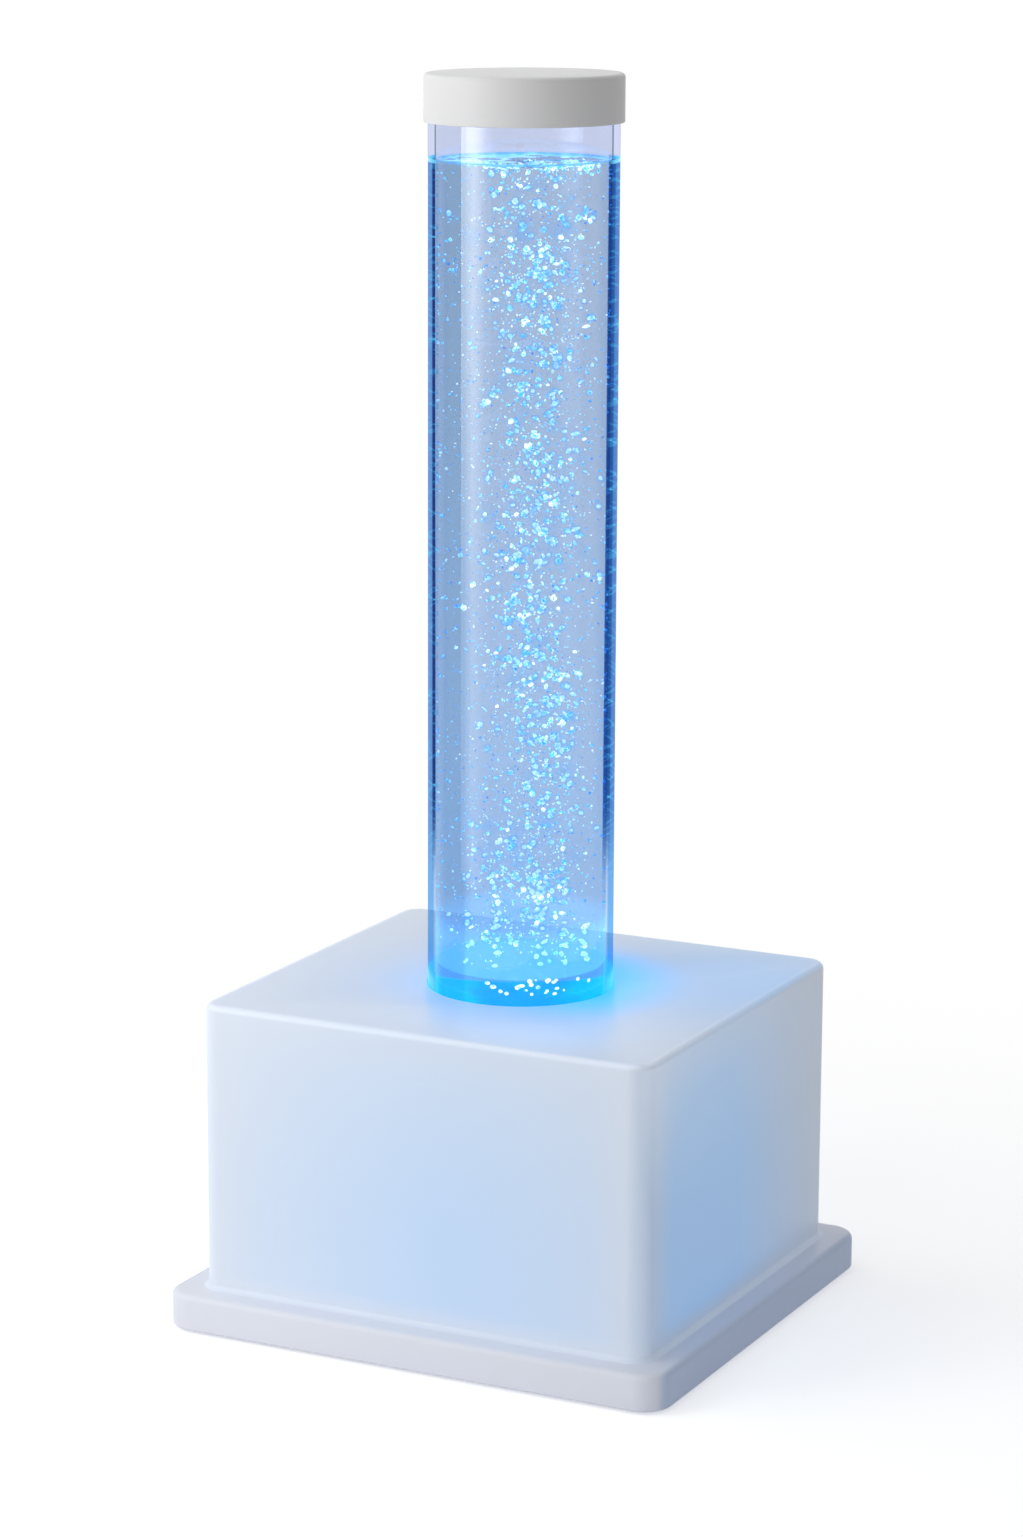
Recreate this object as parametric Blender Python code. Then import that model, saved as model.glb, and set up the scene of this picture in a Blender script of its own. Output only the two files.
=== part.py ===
"""Build an LED bubble tube: a clear column of water on a square opal box.

Lengths are in metres and +Z is up. The origin is under the middle of the base plate,
level with the soles of the rubber feet. The rear of the lamp, with its socket, switch
and button, faces +Y.
"""

import math

import bmesh
import bpy
from mathutils import Matrix, Vector
from mathutils.geometry import interpolate_bezier

# Clearances and small allowances
FIT = 0.0003
OVERRUN = 0.0020
FUSE = 0.0006
MERGE = 0.000002
SHARP_ANGLE = math.radians(38)
EIGHTH_TURN = math.radians(45)
QUARTER_TURN = math.radians(90)

# Facets round a circle
COLUMN_STEPS = 36
DISC_STEPS = 24
ROUND_STEPS = 12
MOTOR_STEPS = 16
LEG_STEPS = 10
SMALL_STEPS = 8
HOLE_STEPS = 6
CORNER_STEPS = 5
EDGE_STEPS = 3

# Overall heights
OVERALL_HEIGHT = 0.6650
FOOT_PROUD = 0.0015
PLATE_HEIGHT = 0.0200
HOUSING_HEIGHT = 0.1575
CAP_HEIGHT = 0.0253
WATER_DROP = 0.0440

# Base plate
HOUSING_WIDTH = 0.2620
HOUSING_DEPTH = 0.2420
PLATE_OVERHANG = 0.0155
PLATE_CORNER = 0.0160
PLATE_EDGE = 0.0030
PLATE_WALL = 0.0045
DECK_THICKNESS = 0.0035
RIB_THICKNESS = 0.0022
RIB_SHARES = (-0.62, -0.20, 0.20, 0.62)
LOCATOR_HEIGHT = 0.0060
LOCATOR_THICKNESS = 0.0025
LOCATOR_LENGTH_SHARE = 0.62
COVER_BOSS_RADIUS = 0.0042

# Bottom cover and feet
COVER_THICKNESS = 0.0030
FOOT_RADIUS = 0.0090
FOOT_RECESS = 0.0013
FOOT_EDGE = 0.0006
FOOT_INSET = 0.0230

# Housing
HOUSING_CORNER = 0.0120
HOUSING_EDGE = 0.0030
HOUSING_WALL = 0.0040
HOUSING_INNER_EDGE = 0.0020
CORNER_BOSS_RADIUS = 0.0055
CORNER_BOSS_HEIGHT = 0.0300
CORNER_BOSS_CONE = 0.0050
CORNER_BOSS_OVERLAP = 0.0016

# Self-tapping screws
SCREW_HEAD_RADIUS = 0.0032
SCREW_HEAD_HEIGHT = 0.0022
SCREW_RADIUS = 0.0015
SCREW_TIP = 0.0020
LONG_SCREW = 0.0180
SHORT_SCREW = 0.0090
PILOT_SPARE = 0.0020

# Bubble tube
TUBE_RADIUS = 0.0500
TUBE_WALL = 0.0040
TUBE_SINK = 0.0120
CUSHION_THICKNESS = 0.0020
CUSHION_VENT_DEPTH = 0.0009
CAP_DISC = 0.0030
CAP_SKIRT = 0.0020
CAP_SPIGOT_WALL = 0.0022
CAP_SPIGOT_DEPTH = 0.0150
CAP_TOP_EDGE = 0.0020
CAP_RIM_EDGE = 0.0005
CAP_VENT_WIDTH = 0.0040
CAP_VENTS = 3
CAP_LIFT = 0.0500

# Tube foot
FLOOR_THICKNESS = 0.0090
FLOOR_ABOVE_FOOT = 0.0060
BUBBLE_PLATE_THICKNESS = 0.0092
PLENUM_RADIUS = 0.0320
PLENUM_DEPTH = 0.0040
AIR_HOLE_RADIUS = 0.0007
AIR_RING_PITCH = 0.0085
AIR_RINGS = 2
AIR_HOLES_PER_RING = 6

# Air inlet through the tube floor
INLET_HEAD_RADIUS = 0.0085
INLET_HEAD_HEIGHT = 0.0025
INLET_STEM_RADIUS = 0.0040
INLET_SHOULDER_HEIGHT = 0.1270
INLET_NUT_RADIUS = 0.0088
INLET_NUT_HEIGHT = 0.0050
INLET_SEAL_HEIGHT = 0.0017

# Tube stand
STAND_FLANGE = 0.0043
STAND_FLANGE_MARGIN = 0.0016
STAND_CUP_WALL = 0.0057
STAND_BORE_RADIUS = 0.0420
STAND_CUP_DROP = 0.0150
STAND_LIP = 0.0030
STAND_LIP_THICKNESS = 0.0017
STAND_LIP_HEIGHT = 0.0050
LEG_CIRCLE_RADIUS = 0.0640
LEG_FOOT_RADIUS = 0.0078
LEG_TOP_RADIUS = 0.0066
LEG_COUNT = 4
GUSSET_THICKNESS = 0.0040

# Light under the tube
BOARD_THICKNESS = 0.0016
LED_BOARD_BORE = 0.0065
LED_CIRCLE_RADIUS = 0.0250
LED_COUNT = 6
LED_SIDE = 0.0060
LED_BASE = 0.0010
LED_DOME = 0.0020
WINDOW_THICKNESS = 0.0020
SINK_RADIUS = 0.0537
SINK_DISC = 0.0040
SINK_FIN_DEPTH = 0.0160
SINK_FIN_THICKNESS = 0.0020
SINK_FIN_REACH = 0.0430
SINK_FINS = 9
SINK_BORE = 0.0095
SINK_CLEAR_RADIUS = 0.0120
SINK_SCREW_CIRCLE = 0.0490
SINK_SCREWS = 2
SINK_SCREW_TURN_SHARE = 0.25
LED_LEAD_PLACE = 0.0165

# Air line
HOSE_RADIUS = 0.0030
HOSE_BORE = 0.0020
BARB_RADIUS = 0.0016
AIR_BORE = 0.0008
BARB_LENGTH = 0.0100
VALVE_RADIUS = 0.0070
VALVE_WAIST = 0.0052
VALVE_LENGTH = 0.0180
VALVE_SHOULDER = 0.0035
UPPER_HOSE_LENGTH = 0.0220
HOSE_ROUTE_SHARES = ((0.38, 0.62, 0.08), (0.07, 0.10, 0.48))

# Air pump
PUMP_FROM_SIDE = 0.0410
PUMP_ALONG = 0.0060
MOTOR_RADIUS = 0.0122
MOTOR_LENGTH = 0.0320
MOTOR_EDGE = 0.0012
MOTOR_HUB_RADIUS = 0.0050
MOTOR_HUB_LENGTH = 0.0020
PUMP_HEAD_SIDE = 0.0270
PUMP_HEAD_LENGTH = 0.0220
PUMP_HEAD_CORNER = 0.0040
PUMP_SPOUT_RADIUS = 0.0032
PUMP_SPOUT_LENGTH = 0.0030
CRADLE_SLAB = 0.0020
CRADLE_BLOCK_WIDTH = 0.0440
CRADLE_BLOCK_DEPTH = 0.0140
CRADLE_UNDER_MOTOR = 0.0020
CRADLE_CORNER = 0.0030
STRAP_THICKNESS = 0.0022
STRAP_SCREW_PLACE = 0.0184
DAMPER_PITCH_X = 0.0390
DAMPER_PITCH_Y = 0.0320
DAMPER_RADIUS = 0.0045
DAMPER_WAIST = 0.0030
DAMPER_BORE = 0.0018
DAMPER_LOWER = 0.0030
DAMPER_UPPER = 0.0022

# Control board
CONTROL_FROM_SIDE = 0.0390
CONTROL_WIDTH = 0.0440
CONTROL_DEPTH = 0.0840
CONTROL_CORNER = 0.0020
CONTROL_POST_INSET = 0.0040
POST_HEIGHT = 0.0060
POST_RADIUS = 0.0032
PIN_RADIUS = 0.0014
PIN_HEAD_RADIUS = 0.0022
PIN_HEAD_HEIGHT = 0.0010
CONNECTOR_SIZE = (0.0080, 0.0070, 0.0070)
CAPACITOR_RADIUS = 0.0040
CAPACITOR_HEIGHT = 0.0110
CHIP_SIZE = (0.0090, 0.0090, 0.0014)
COIL_SIZE = (0.0120, 0.0120, 0.0050)
CONNECTOR_SHARES = ((-0.62, 0.34), (-0.62, 0.62), (0.05, 0.80), (-0.62, -0.30), (-0.62, 0.06))
CAPACITOR_SHARES = ((0.50, 0.52), (0.50, 0.26))
CHIP_SHARES = ((0.25, -0.12),)
COIL_SHARES = ((0.35, -0.55),)

# Rear panel
PANEL_HEIGHT = 0.0480
PANEL_PITCH = 0.0450
PANEL_NUT_RADIUS = 0.0086
PANEL_NUT_HEIGHT = 0.0026
BARREL_RADIUS = 0.0057
BARREL_LENGTH = 0.0180
JACK_FLANGE_RADIUS = 0.0075
JACK_FLANGE = 0.0018
JACK_BORE = 0.0031
JACK_BORE_DEPTH = 0.0100
JACK_PIN_RADIUS = 0.0010
JACK_PIN_LENGTH = 0.0085
PANEL_EDGE = 0.0006
BUTTON_FLANGE = 0.0022
BUTTON_FLANGE_RADIUS = 0.0080
BUTTON_RADIUS = 0.0041
BUTTON_LENGTH = 0.0050
BUTTON_PROUD = 0.0018
BUTTON_CROWN = 0.0006
BUTTON_WELL = 0.0080
BUTTON_STEM_RADIUS = 0.0015
BUTTON_STEM_LENGTH = 0.0080
BUTTON_STEM_WELL = 0.0070
BUTTON_TRAVEL = 0.0015

# Rocker switch
SWITCH_BEZEL_WIDTH = 0.0150
SWITCH_BEZEL_HEIGHT = 0.0210
SWITCH_BEZEL = 0.0020
SWITCH_BEZEL_CORNER = 0.0012
SWITCH_BODY_WIDTH = 0.0123
SWITCH_BODY_HEIGHT = 0.0182
SWITCH_BODY_DEPTH = 0.0140
SWITCH_WELL_WIDTH = 0.0102
SWITCH_WELL_HEIGHT = 0.0170
SWITCH_WELL_DEPTH = 0.0060
SWITCH_BLADE_SIZE = (0.0048, 0.0070, 0.0008)
SWITCH_BLADE_PITCH = 0.0090
ROCKER_LENGTH = 0.0156
ROCKER_END = 0.0026
ROCKER_DIP = 0.0013
ROCKER_BACK = 0.0022
ROCKER_KEEL = 0.0044
ROCKER_KEEL_LENGTH = 0.0050
ROCKER_PIN_RADIUS = 0.0009
ROCKER_PIN_LENGTH = 0.0006
ROCKER_TILT = math.radians(10)
ROCKER_PIVOT_PROUD = 0.0004

# Internal leads
LEAD_RADIUS = 0.0016
LEAD_RISE = 0.0100
ROUTE_PITCH_SHARE = 2.9
JACK_LEAD_SHARES = ((0.481, 0.500, 0.283), (0.155, 0.692, 0.308), (-0.194, 0.733, 0.244))
SWITCH_LEAD_SHARES = ((0.496, 0.583, 0.219), (0.217, 0.667, 0.232))
BUTTON_LEAD_SHARES = ((0.667, 0.533, 0.219), (0.465, 0.667, 0.194))
LED_LEAD_SHARES = ((0.496, -0.033, 0.359), (0.248, 0, 0.486))
PUMP_LEAD_SHARES = (
    (0.434, 0.150, 0.156), (0.155, 0.217, 0.054), (-0.155, 0.200, 0.035),
    (-0.419, 0.250, 0.048), (-0.605, 0.367, 0.092))

# Sizes that follow
PLATE_TOP = FOOT_PROUD + PLATE_HEIGHT
DECK_UNDERSIDE = PLATE_TOP - DECK_THICKNESS
PLATE_WIDTH = HOUSING_WIDTH + 2 * PLATE_OVERHANG
PLATE_DEPTH = HOUSING_DEPTH + 2 * PLATE_OVERHANG
HOUSING_BOTTOM = PLATE_TOP + FIT
HOUSING_TOP = PLATE_TOP + HOUSING_HEIGHT
CEILING = HOUSING_TOP - HOUSING_WALL
INNER_WIDTH = HOUSING_WIDTH - 2 * HOUSING_WALL
INNER_DEPTH = HOUSING_DEPTH - 2 * HOUSING_WALL
REAR_FACE = HOUSING_DEPTH / 2
REAR_INNER = REAR_FACE - HOUSING_WALL
COVER_TOP = FOOT_PROUD + COVER_THICKNESS
COVER_INSET = PLATE_WALL + FIT
TUBE_BOTTOM = HOUSING_TOP - TUBE_SINK
CAP_UNDERSIDE = OVERALL_HEIGHT - CAP_DISC
TUBE_TOP = CAP_UNDERSIDE - CUSHION_THICKNESS - 2 * FIT
TUBE_BORE = TUBE_RADIUS - TUBE_WALL
INNER_DISC_RADIUS = TUBE_BORE - FIT
WATER_LEVEL = OVERALL_HEIGHT - WATER_DROP
FLOOR_BOTTOM = TUBE_BOTTOM + FLOOR_ABOVE_FOOT
FLOOR_TOP = FLOOR_BOTTOM + FLOOR_THICKNESS
BUBBLE_PLATE_BOTTOM = FLOOR_TOP + FIT
BUBBLE_PLATE_TOP = BUBBLE_PLATE_BOTTOM + BUBBLE_PLATE_THICKNESS
LEDGE = TUBE_BOTTOM - FIT
CUP_BOTTOM = LEDGE - STAND_CUP_DROP
CUP_RADIUS = TUBE_RADIUS + FIT + STAND_CUP_WALL
STAND_TOP = CEILING - FIT
LEG_BOTTOM = PLATE_TOP + FIT
LEG_REACH = LEG_CIRCLE_RADIUS * math.cos(EIGHTH_TURN)
BOARD_BOTTOM = CUP_BOTTOM
SINK_TOP = CUP_BOTTOM - FIT
SINK_BOTTOM = SINK_TOP - SINK_DISC
FIN_BOTTOM = SINK_BOTTOM - SINK_FIN_DEPTH
CAVITY_CORNER = HOUSING_CORNER - HOUSING_WALL
BOSS_DRAW = (CAVITY_CORNER - CORNER_BOSS_RADIUS + CORNER_BOSS_OVERLAP) * math.cos(EIGHTH_TURN)
BOSS_X = HOUSING_WIDTH / 2 - HOUSING_CORNER + BOSS_DRAW
BOSS_Y = HOUSING_DEPTH / 2 - HOUSING_CORNER + BOSS_DRAW
PILOT_RADIUS = SCREW_RADIUS + FIT
COVER_SCREW_X = RIB_SHARES[-1] * (PLATE_WIDTH / 2 - PLATE_WALL)
COVER_SCREW_Y = RIB_SHARES[-1] * (PLATE_DEPTH / 2 - PLATE_WALL)
FOOT_X = PLATE_WIDTH / 2 - FOOT_INSET
FOOT_Y = PLATE_DEPTH / 2 - FOOT_INSET
DAMPER_GAP = CRADLE_SLAB + 2 * FIT
DAMPER_HEIGHT = DAMPER_LOWER + DAMPER_GAP + DAMPER_UPPER
CRADLE_BOTTOM = PLATE_TOP + FIT + DAMPER_LOWER + FIT
PUMP_PLACE = (PUMP_FROM_SIDE - HOUSING_WIDTH / 2, PUMP_ALONG)
PUMP_AXIS = CRADLE_BOTTOM + CRADLE_SLAB + CRADLE_UNDER_MOTOR + FIT + MOTOR_RADIUS
MOTOR_REAR = PUMP_PLACE[1] + MOTOR_LENGTH / 2
MOTOR_FRONT = PUMP_PLACE[1] - MOTOR_LENGTH / 2
SPOUT_Y = MOTOR_FRONT - FIT - PUMP_HEAD_LENGTH / 2
SPOUT_SHOULDER_X = PUMP_PLACE[0] + PUMP_HEAD_SIDE / 2 + PUMP_SPOUT_LENGTH
CONTROL_PLACE = (HOUSING_WIDTH / 2 - CONTROL_FROM_SIDE, 0)
CONTROL_BOTTOM = PLATE_TOP + POST_HEIGHT + FIT
CONTROL_TOP = CONTROL_BOTTOM + BOARD_THICKNESS
CONNECTOR_TOP = CONTROL_TOP + CONNECTOR_SIZE[2]
VALVE_TOP = INLET_SHOULDER_HEIGHT - UPPER_HOSE_LENGTH - 2 * FIT
VALVE_BOTTOM = VALVE_TOP - VALVE_LENGTH
BARREL_HOLE = BARREL_RADIUS + FIT
QUARTERS = ((1, 1), (-1, 1), (-1, -1), (1, -1))


def finish(name, color, roughness, metallic=0.0, transmission=0.0):
    """One Principled material with the colour and gloss of a part."""
    material = bpy.data.materials.new(name)
    material.use_nodes = True
    shader = material.node_tree.nodes["Principled BSDF"]
    shader.inputs["Base Color"].default_value = (*color, 1.0)
    shader.inputs["Roughness"].default_value = roughness
    shader.inputs["Metallic"].default_value = metallic
    shader.inputs["Transmission Weight"].default_value = transmission
    material.diffuse_color = (*color, 1.0)
    return material


def clean_start():
    """Remove every object that the scene holds."""
    for item in list(bpy.data.objects):
        bpy.data.objects.remove(item, do_unlink=True)


def new_object(name, body, look=None):
    """Turn a bmesh into an object whose faces point outwards."""
    bmesh.ops.remove_doubles(body, verts=body.verts, dist=MERGE)
    bmesh.ops.recalc_face_normals(body, faces=body.faces)
    mesh = bpy.data.meshes.new(name)
    body.to_mesh(mesh)
    body.free()
    item = bpy.data.objects.new(name, mesh)
    bpy.context.scene.collection.objects.link(item)
    dress(item, look)
    return item


def dress(item, look):
    """Shade a part smooth between its edges and give it its own material."""
    item.data.shade_smooth()
    item.data.set_sharp_from_angle(angle=SHARP_ANGLE)
    if look:
        color, roughness, metallic, transmission = look
        item.data.materials.clear()
        item.data.materials.append(finish(item.name, color, roughness, metallic, transmission))


def place(item, position=(0, 0, 0), turn=None, parent=None):
    """Put a part at its position, turned by Euler angles, under its parent."""
    item.location = position
    if turn:
        item.rotation_euler = turn
    item.parent = parent
    return item


def group_empty(name, position=(0, 0, 0)):
    """An empty that carries one sub-assembly."""
    item = bpy.data.objects.new(name, None)
    item.location = position
    bpy.context.scene.collection.objects.link(item)
    return item


def combine(target, tools, operation):
    """Cut or add the tools with Boolean modifiers and keep the result as the mesh."""
    look = list(target.data.materials)
    for tool in tools:
        tool.hide_render = True
        tool.display_type = "WIRE"
        step = target.modifiers.new(tool.name, "BOOLEAN")
        step.operation = operation
        step.solver = "EXACT"
        step.object = tool
    depsgraph = bpy.context.evaluated_depsgraph_get()
    shaped = bpy.data.meshes.new_from_object(target.evaluated_get(depsgraph))
    target.modifiers.clear()
    target.data = shaped
    target.data.materials.clear()
    for material in look:
        target.data.materials.append(material)
    for tool in tools:
        bpy.data.objects.remove(tool, do_unlink=True)
    target.data.shade_smooth()
    target.data.set_sharp_from_angle(angle=SHARP_ANGLE)


def arc(center, radius, start, end, steps=EDGE_STEPS):
    """Points of an arc in a section, from one angle in degrees to another."""
    angles = [math.radians(start + (end - start) * index / steps) for index in range(steps + 1)]
    return [(center[0] + radius * math.cos(a), center[1] + radius * math.sin(a)) for a in angles]


def turned(profile, steps):
    """Spin a closed outline of (radius, height) points round the Z axis."""
    body = bmesh.new()
    points = [body.verts.new((radius, 0, height)) for radius, height in profile]
    sides = []
    for first, second in zip(points, points[1:] + points[:1]):
        if max(first.co.x, second.co.x) > MERGE:
            sides.append(body.edges.new((first, second)))
    bmesh.ops.spin(
        body, geom=points + sides, cent=(0, 0, 0), axis=(0, 0, 1), angle=math.tau, steps=steps)
    return body


def rod(radius, low, high, steps):
    """A plain round bar along Z."""
    return turned([(0, high), (radius, high), (radius, low), (0, low)], steps)


def ring(inner, outer, low, high, steps):
    """A plain round ring along Z."""
    return turned([(inner, high), (outer, high), (outer, low), (inner, low)], steps)


def polygon_ring(radius, height, steps, turn=0.0):
    """Corner points of a regular polygon at one height."""
    angles = [turn + math.tau * index / steps for index in range(steps)]
    return [(radius * math.cos(a), radius * math.sin(a), height) for a in angles]


def rounded_ring(width, depth, corner, inset, height):
    """Points of a rounded rectangle at one height, drawn in all round by inset."""
    points = []
    radius = corner - inset
    for quarter, (side_x, side_y) in enumerate(QUARTERS):
        center_x = side_x * (width / 2 - corner)
        center_y = side_y * (depth / 2 - corner)
        for index in range(CORNER_STEPS + 1):
            angle = QUARTER_TURN * (quarter + index / CORNER_STEPS)
            points.append((
                center_x + radius * math.cos(angle), center_y + radius * math.sin(angle), height))
    return points


def lofted(rings):
    """Skin a stack of point rings and close its two ends."""
    body = bmesh.new()
    loops = [[body.verts.new(point) for point in points] for points in rings]
    count = len(loops[0])
    for upper, lower in zip(loops, loops[1:]):
        for index in range(count):
            follow = (index + 1) % count
            body.faces.new((upper[index], upper[follow], lower[follow], lower[index]))
    body.faces.new(loops[0])
    body.faces.new(loops[-1])
    return body


def rounded_loft(width, depth, corner, section):
    """Sweep a section of (inset, height) points round a rounded rectangle."""
    return lofted([rounded_ring(width, depth, corner, inset, height) for inset, height in section])


def block(low, high):
    """A box between two corners."""
    body = bmesh.new()
    size = [b - a for a, b in zip(low, high)]
    middle = [(a + b) / 2 for a, b in zip(low, high)]
    bmesh.ops.create_cube(
        body, size=1, matrix=Matrix.Translation(middle) @ Matrix.Diagonal((*size, 1)))
    return body


def centered_block(width, depth, low, high, at=(0, 0)):
    """A box centred on a point in plan, between two heights."""
    return block(
        (at[0] - width / 2, at[1] - depth / 2, low), (at[0] + width / 2, at[1] + depth / 2, high))


def moved(body, offset=(0, 0, 0), turn=0.0, axis="Z"):
    """Turn a bmesh about an axis through the origin, then shift it."""
    matrix = Matrix.Translation(offset) @ Matrix.Rotation(turn, 4, axis)
    bmesh.ops.transform(body, matrix=matrix, verts=body.verts)
    return body


def tool(name, body):
    """A cutter or an addition for a Boolean step."""
    return new_object(name, body)


def smooth_route(knots, diameter):
    """Points a few diameters apart on a smooth curve through the knots."""
    pitch = diameter * ROUTE_PITCH_SHARE
    knots = [Vector(knot) for knot in knots]
    points = [knots[0]]
    for index in range(len(knots) - 1):
        before = knots[max(index - 1, 0)]
        start, end = knots[index], knots[index + 1]
        after = knots[min(index + 2, len(knots) - 1)]
        span = (end - start).length
        leave = (end - before).normalized() * span / 3
        arrive = (after - start).normalized() * span / 3
        count = max(2, round(span / pitch) + 1)
        points += interpolate_bezier(start, start + leave, end - arrive, end, count)[1:]
    return points


def bent_rod(name, knots, radius, look=None):
    """A flexible round line on a smooth route, closed at both ends."""
    points = smooth_route(knots, 2 * radius)
    curve = bpy.data.curves.new(name, "CURVE")
    curve.dimensions = "3D"
    curve.bevel_depth = radius
    curve.bevel_resolution = 2
    curve.use_fill_caps = True
    spline = curve.splines.new("POLY")
    spline.points.add(len(points) - 1)
    for point, position in zip(spline.points, points):
        point.co = (*position, 1)
    item = bpy.data.objects.new(name, curve)
    bpy.context.scene.collection.objects.link(item)
    if look:
        curve.materials.append(finish(name, *look))
    return item


def hose(name, knots, look, parent):
    """A flexible hose with an open bore along its whole route."""
    body = solid_of(bent_rod(name + "_outside", knots, HOSE_RADIUS))
    first, last = Vector(knots[0]), Vector(knots[-1])
    lead_in = first + (first - Vector(knots[1])).normalized() * OVERRUN
    lead_out = last + (last - Vector(knots[-2])).normalized() * OVERRUN
    bore = solid_of(bent_rod(name + "_bore", [lead_in, *knots, lead_out], HOSE_BORE))
    item = new_object(name, body, look)
    combine(item, [tool(name + "_cut", bore)], "DIFFERENCE")
    return place(item, parent=parent)


def solid_of(line):
    """The bmesh of a curve object, which is then removed."""
    depsgraph = bpy.context.evaluated_depsgraph_get()
    mesh = line.evaluated_get(depsgraph).to_mesh()
    body = bmesh.new()
    body.from_mesh(mesh)
    line.to_mesh_clear()
    bpy.data.objects.remove(line, do_unlink=True)
    return body


# Looks: colour, roughness, metallic, transmission
OPAL = ((0.82, 0.87, 0.93), 0.35, 0.0, 0.0)
WHITE = ((0.84, 0.84, 0.85), 0.55, 0.0, 0.0)
CLEAR = ((0.92, 0.97, 1.00), 0.03, 0.0, 1.0)
CYAN_CLEAR = ((0.35, 0.80, 1.00), 0.05, 0.0, 1.0)
WATER = ((0.62, 0.80, 0.95), 0.02, 0.0, 1.0)
RUBBER = ((0.05, 0.05, 0.055), 0.80, 0.0, 0.0)
SILICONE = ((0.75, 0.78, 0.80), 0.45, 0.0, 0.3)
STEEL = ((0.62, 0.62, 0.64), 0.30, 1.0, 0.0)
ALUMINIUM = ((0.74, 0.75, 0.77), 0.38, 1.0, 0.0)
BRASS = ((0.78, 0.60, 0.28), 0.30, 1.0, 0.0)
BOARD_WHITE = ((0.88, 0.89, 0.88), 0.50, 0.0, 0.0)
BOARD_GREEN = ((0.04, 0.22, 0.10), 0.45, 0.0, 0.0)
BLACK = ((0.03, 0.03, 0.035), 0.45, 0.0, 0.0)
GREY = ((0.35, 0.36, 0.38), 0.50, 0.0, 0.0)


def screw(name, length, position, parent, head_up=False):
    """A pan-headed self-tapping screw whose head seats at its position."""
    profile = [(0, -SCREW_HEAD_HEIGHT), (SCREW_HEAD_RADIUS, -SCREW_HEAD_HEIGHT)]
    profile += [(SCREW_HEAD_RADIUS, 0), (SCREW_RADIUS, 0), (SCREW_RADIUS, length - SCREW_TIP)]
    profile += [(0, length)]
    item = new_object(name, turned(profile, SMALL_STEPS), STEEL)
    return place(item, position, (math.pi, 0, 0) if head_up else None, parent)


def pilot(name, low, high, at, radius=PILOT_RADIUS):
    """A cutter for a small round hole along Z."""
    return tool(name, moved(rod(radius, low, high, SMALL_STEPS), (*at, 0)))


def build_base_plate(parent):
    """The ribbed plate with its locating bars, board posts and pump pins."""
    section = [(PLATE_EDGE, PLATE_TOP)]
    section += [(PLATE_EDGE - r, z) for r, z in arc(
        (0, PLATE_TOP - PLATE_EDGE), PLATE_EDGE, 90, 0)][1:]
    section += [(PLATE_EDGE - r, z) for r, z in arc(
        (0, FOOT_PROUD + PLATE_EDGE), PLATE_EDGE, 0, -90)]
    section += [(PLATE_WALL, FOOT_PROUD), (PLATE_WALL, DECK_UNDERSIDE)]
    plate = new_object(
        "base_plate", rounded_loft(PLATE_WIDTH, PLATE_DEPTH, PLATE_CORNER, section), OPAL)
    half_x = PLATE_WIDTH / 2 - PLATE_WALL
    half_y = PLATE_DEPTH / 2 - PLATE_WALL
    rib_low, rib_high = COVER_TOP + FIT, DECK_UNDERSIDE + FUSE
    additions = []
    for index, share in enumerate(RIB_SHARES):
        along_y = centered_block(
            RIB_THICKNESS, 2 * (half_y + FUSE), rib_low, rib_high, (share * half_x, 0))
        along_x = centered_block(
            2 * (half_x + FUSE), RIB_THICKNESS, rib_low, rib_high, (0, share * half_y))
        additions += [tool(f"rib_y_{index}", along_y), tool(f"rib_x_{index}", along_x)]
    for index, (side_x, side_y) in enumerate(QUARTERS):
        at = (side_x * COVER_SCREW_X, side_y * COVER_SCREW_Y)
        boss = moved(rod(COVER_BOSS_RADIUS, rib_low, rib_high, SMALL_STEPS), (*at, 0))
        additions.append(tool(f"cover_boss_{index}", boss))
    additions += locating_bars() + board_posts() + pump_pins()
    combine(plate, additions, "UNION")
    cuts = []
    for index, (side_x, side_y) in enumerate(QUARTERS):
        low, high = rib_low - OVERRUN, rib_low + SHORT_SCREW
        cuts.append(pilot(
            f"cover_pilot_{index}", low, high, (side_x * COVER_SCREW_X, side_y * COVER_SCREW_Y)))
        low, high = DECK_UNDERSIDE - OVERRUN, PLATE_TOP + OVERRUN
        cuts.append(pilot(f"housing_hole_{index}", low, high, (side_x * BOSS_X, side_y * BOSS_Y)))
        cuts.append(pilot(
            f"stand_hole_{index}", low, high, (side_x * LEG_REACH, side_y * LEG_REACH)))
    combine(plate, cuts, "DIFFERENCE")
    return place(plate, parent=parent)


def locating_bars():
    """Four low bars on the deck, just inside the walls of the housing."""
    bars = []
    low, high = PLATE_TOP - FUSE, PLATE_TOP + LOCATOR_HEIGHT
    reach_x = INNER_WIDTH / 2 - FIT - LOCATOR_THICKNESS / 2
    reach_y = INNER_DEPTH / 2 - FIT - LOCATOR_THICKNESS / 2
    long_x = INNER_WIDTH * LOCATOR_LENGTH_SHARE
    long_y = INNER_DEPTH * LOCATOR_LENGTH_SHARE
    for index, side in enumerate((-1, 1)):
        across = centered_block(long_x, LOCATOR_THICKNESS, low, high, (0, side * reach_y))
        along = centered_block(LOCATOR_THICKNESS, long_y, low, high, (side * reach_x, 0))
        bars += [tool(f"bar_x_{index}", across), tool(f"bar_y_{index}", along)]
    return bars


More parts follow.
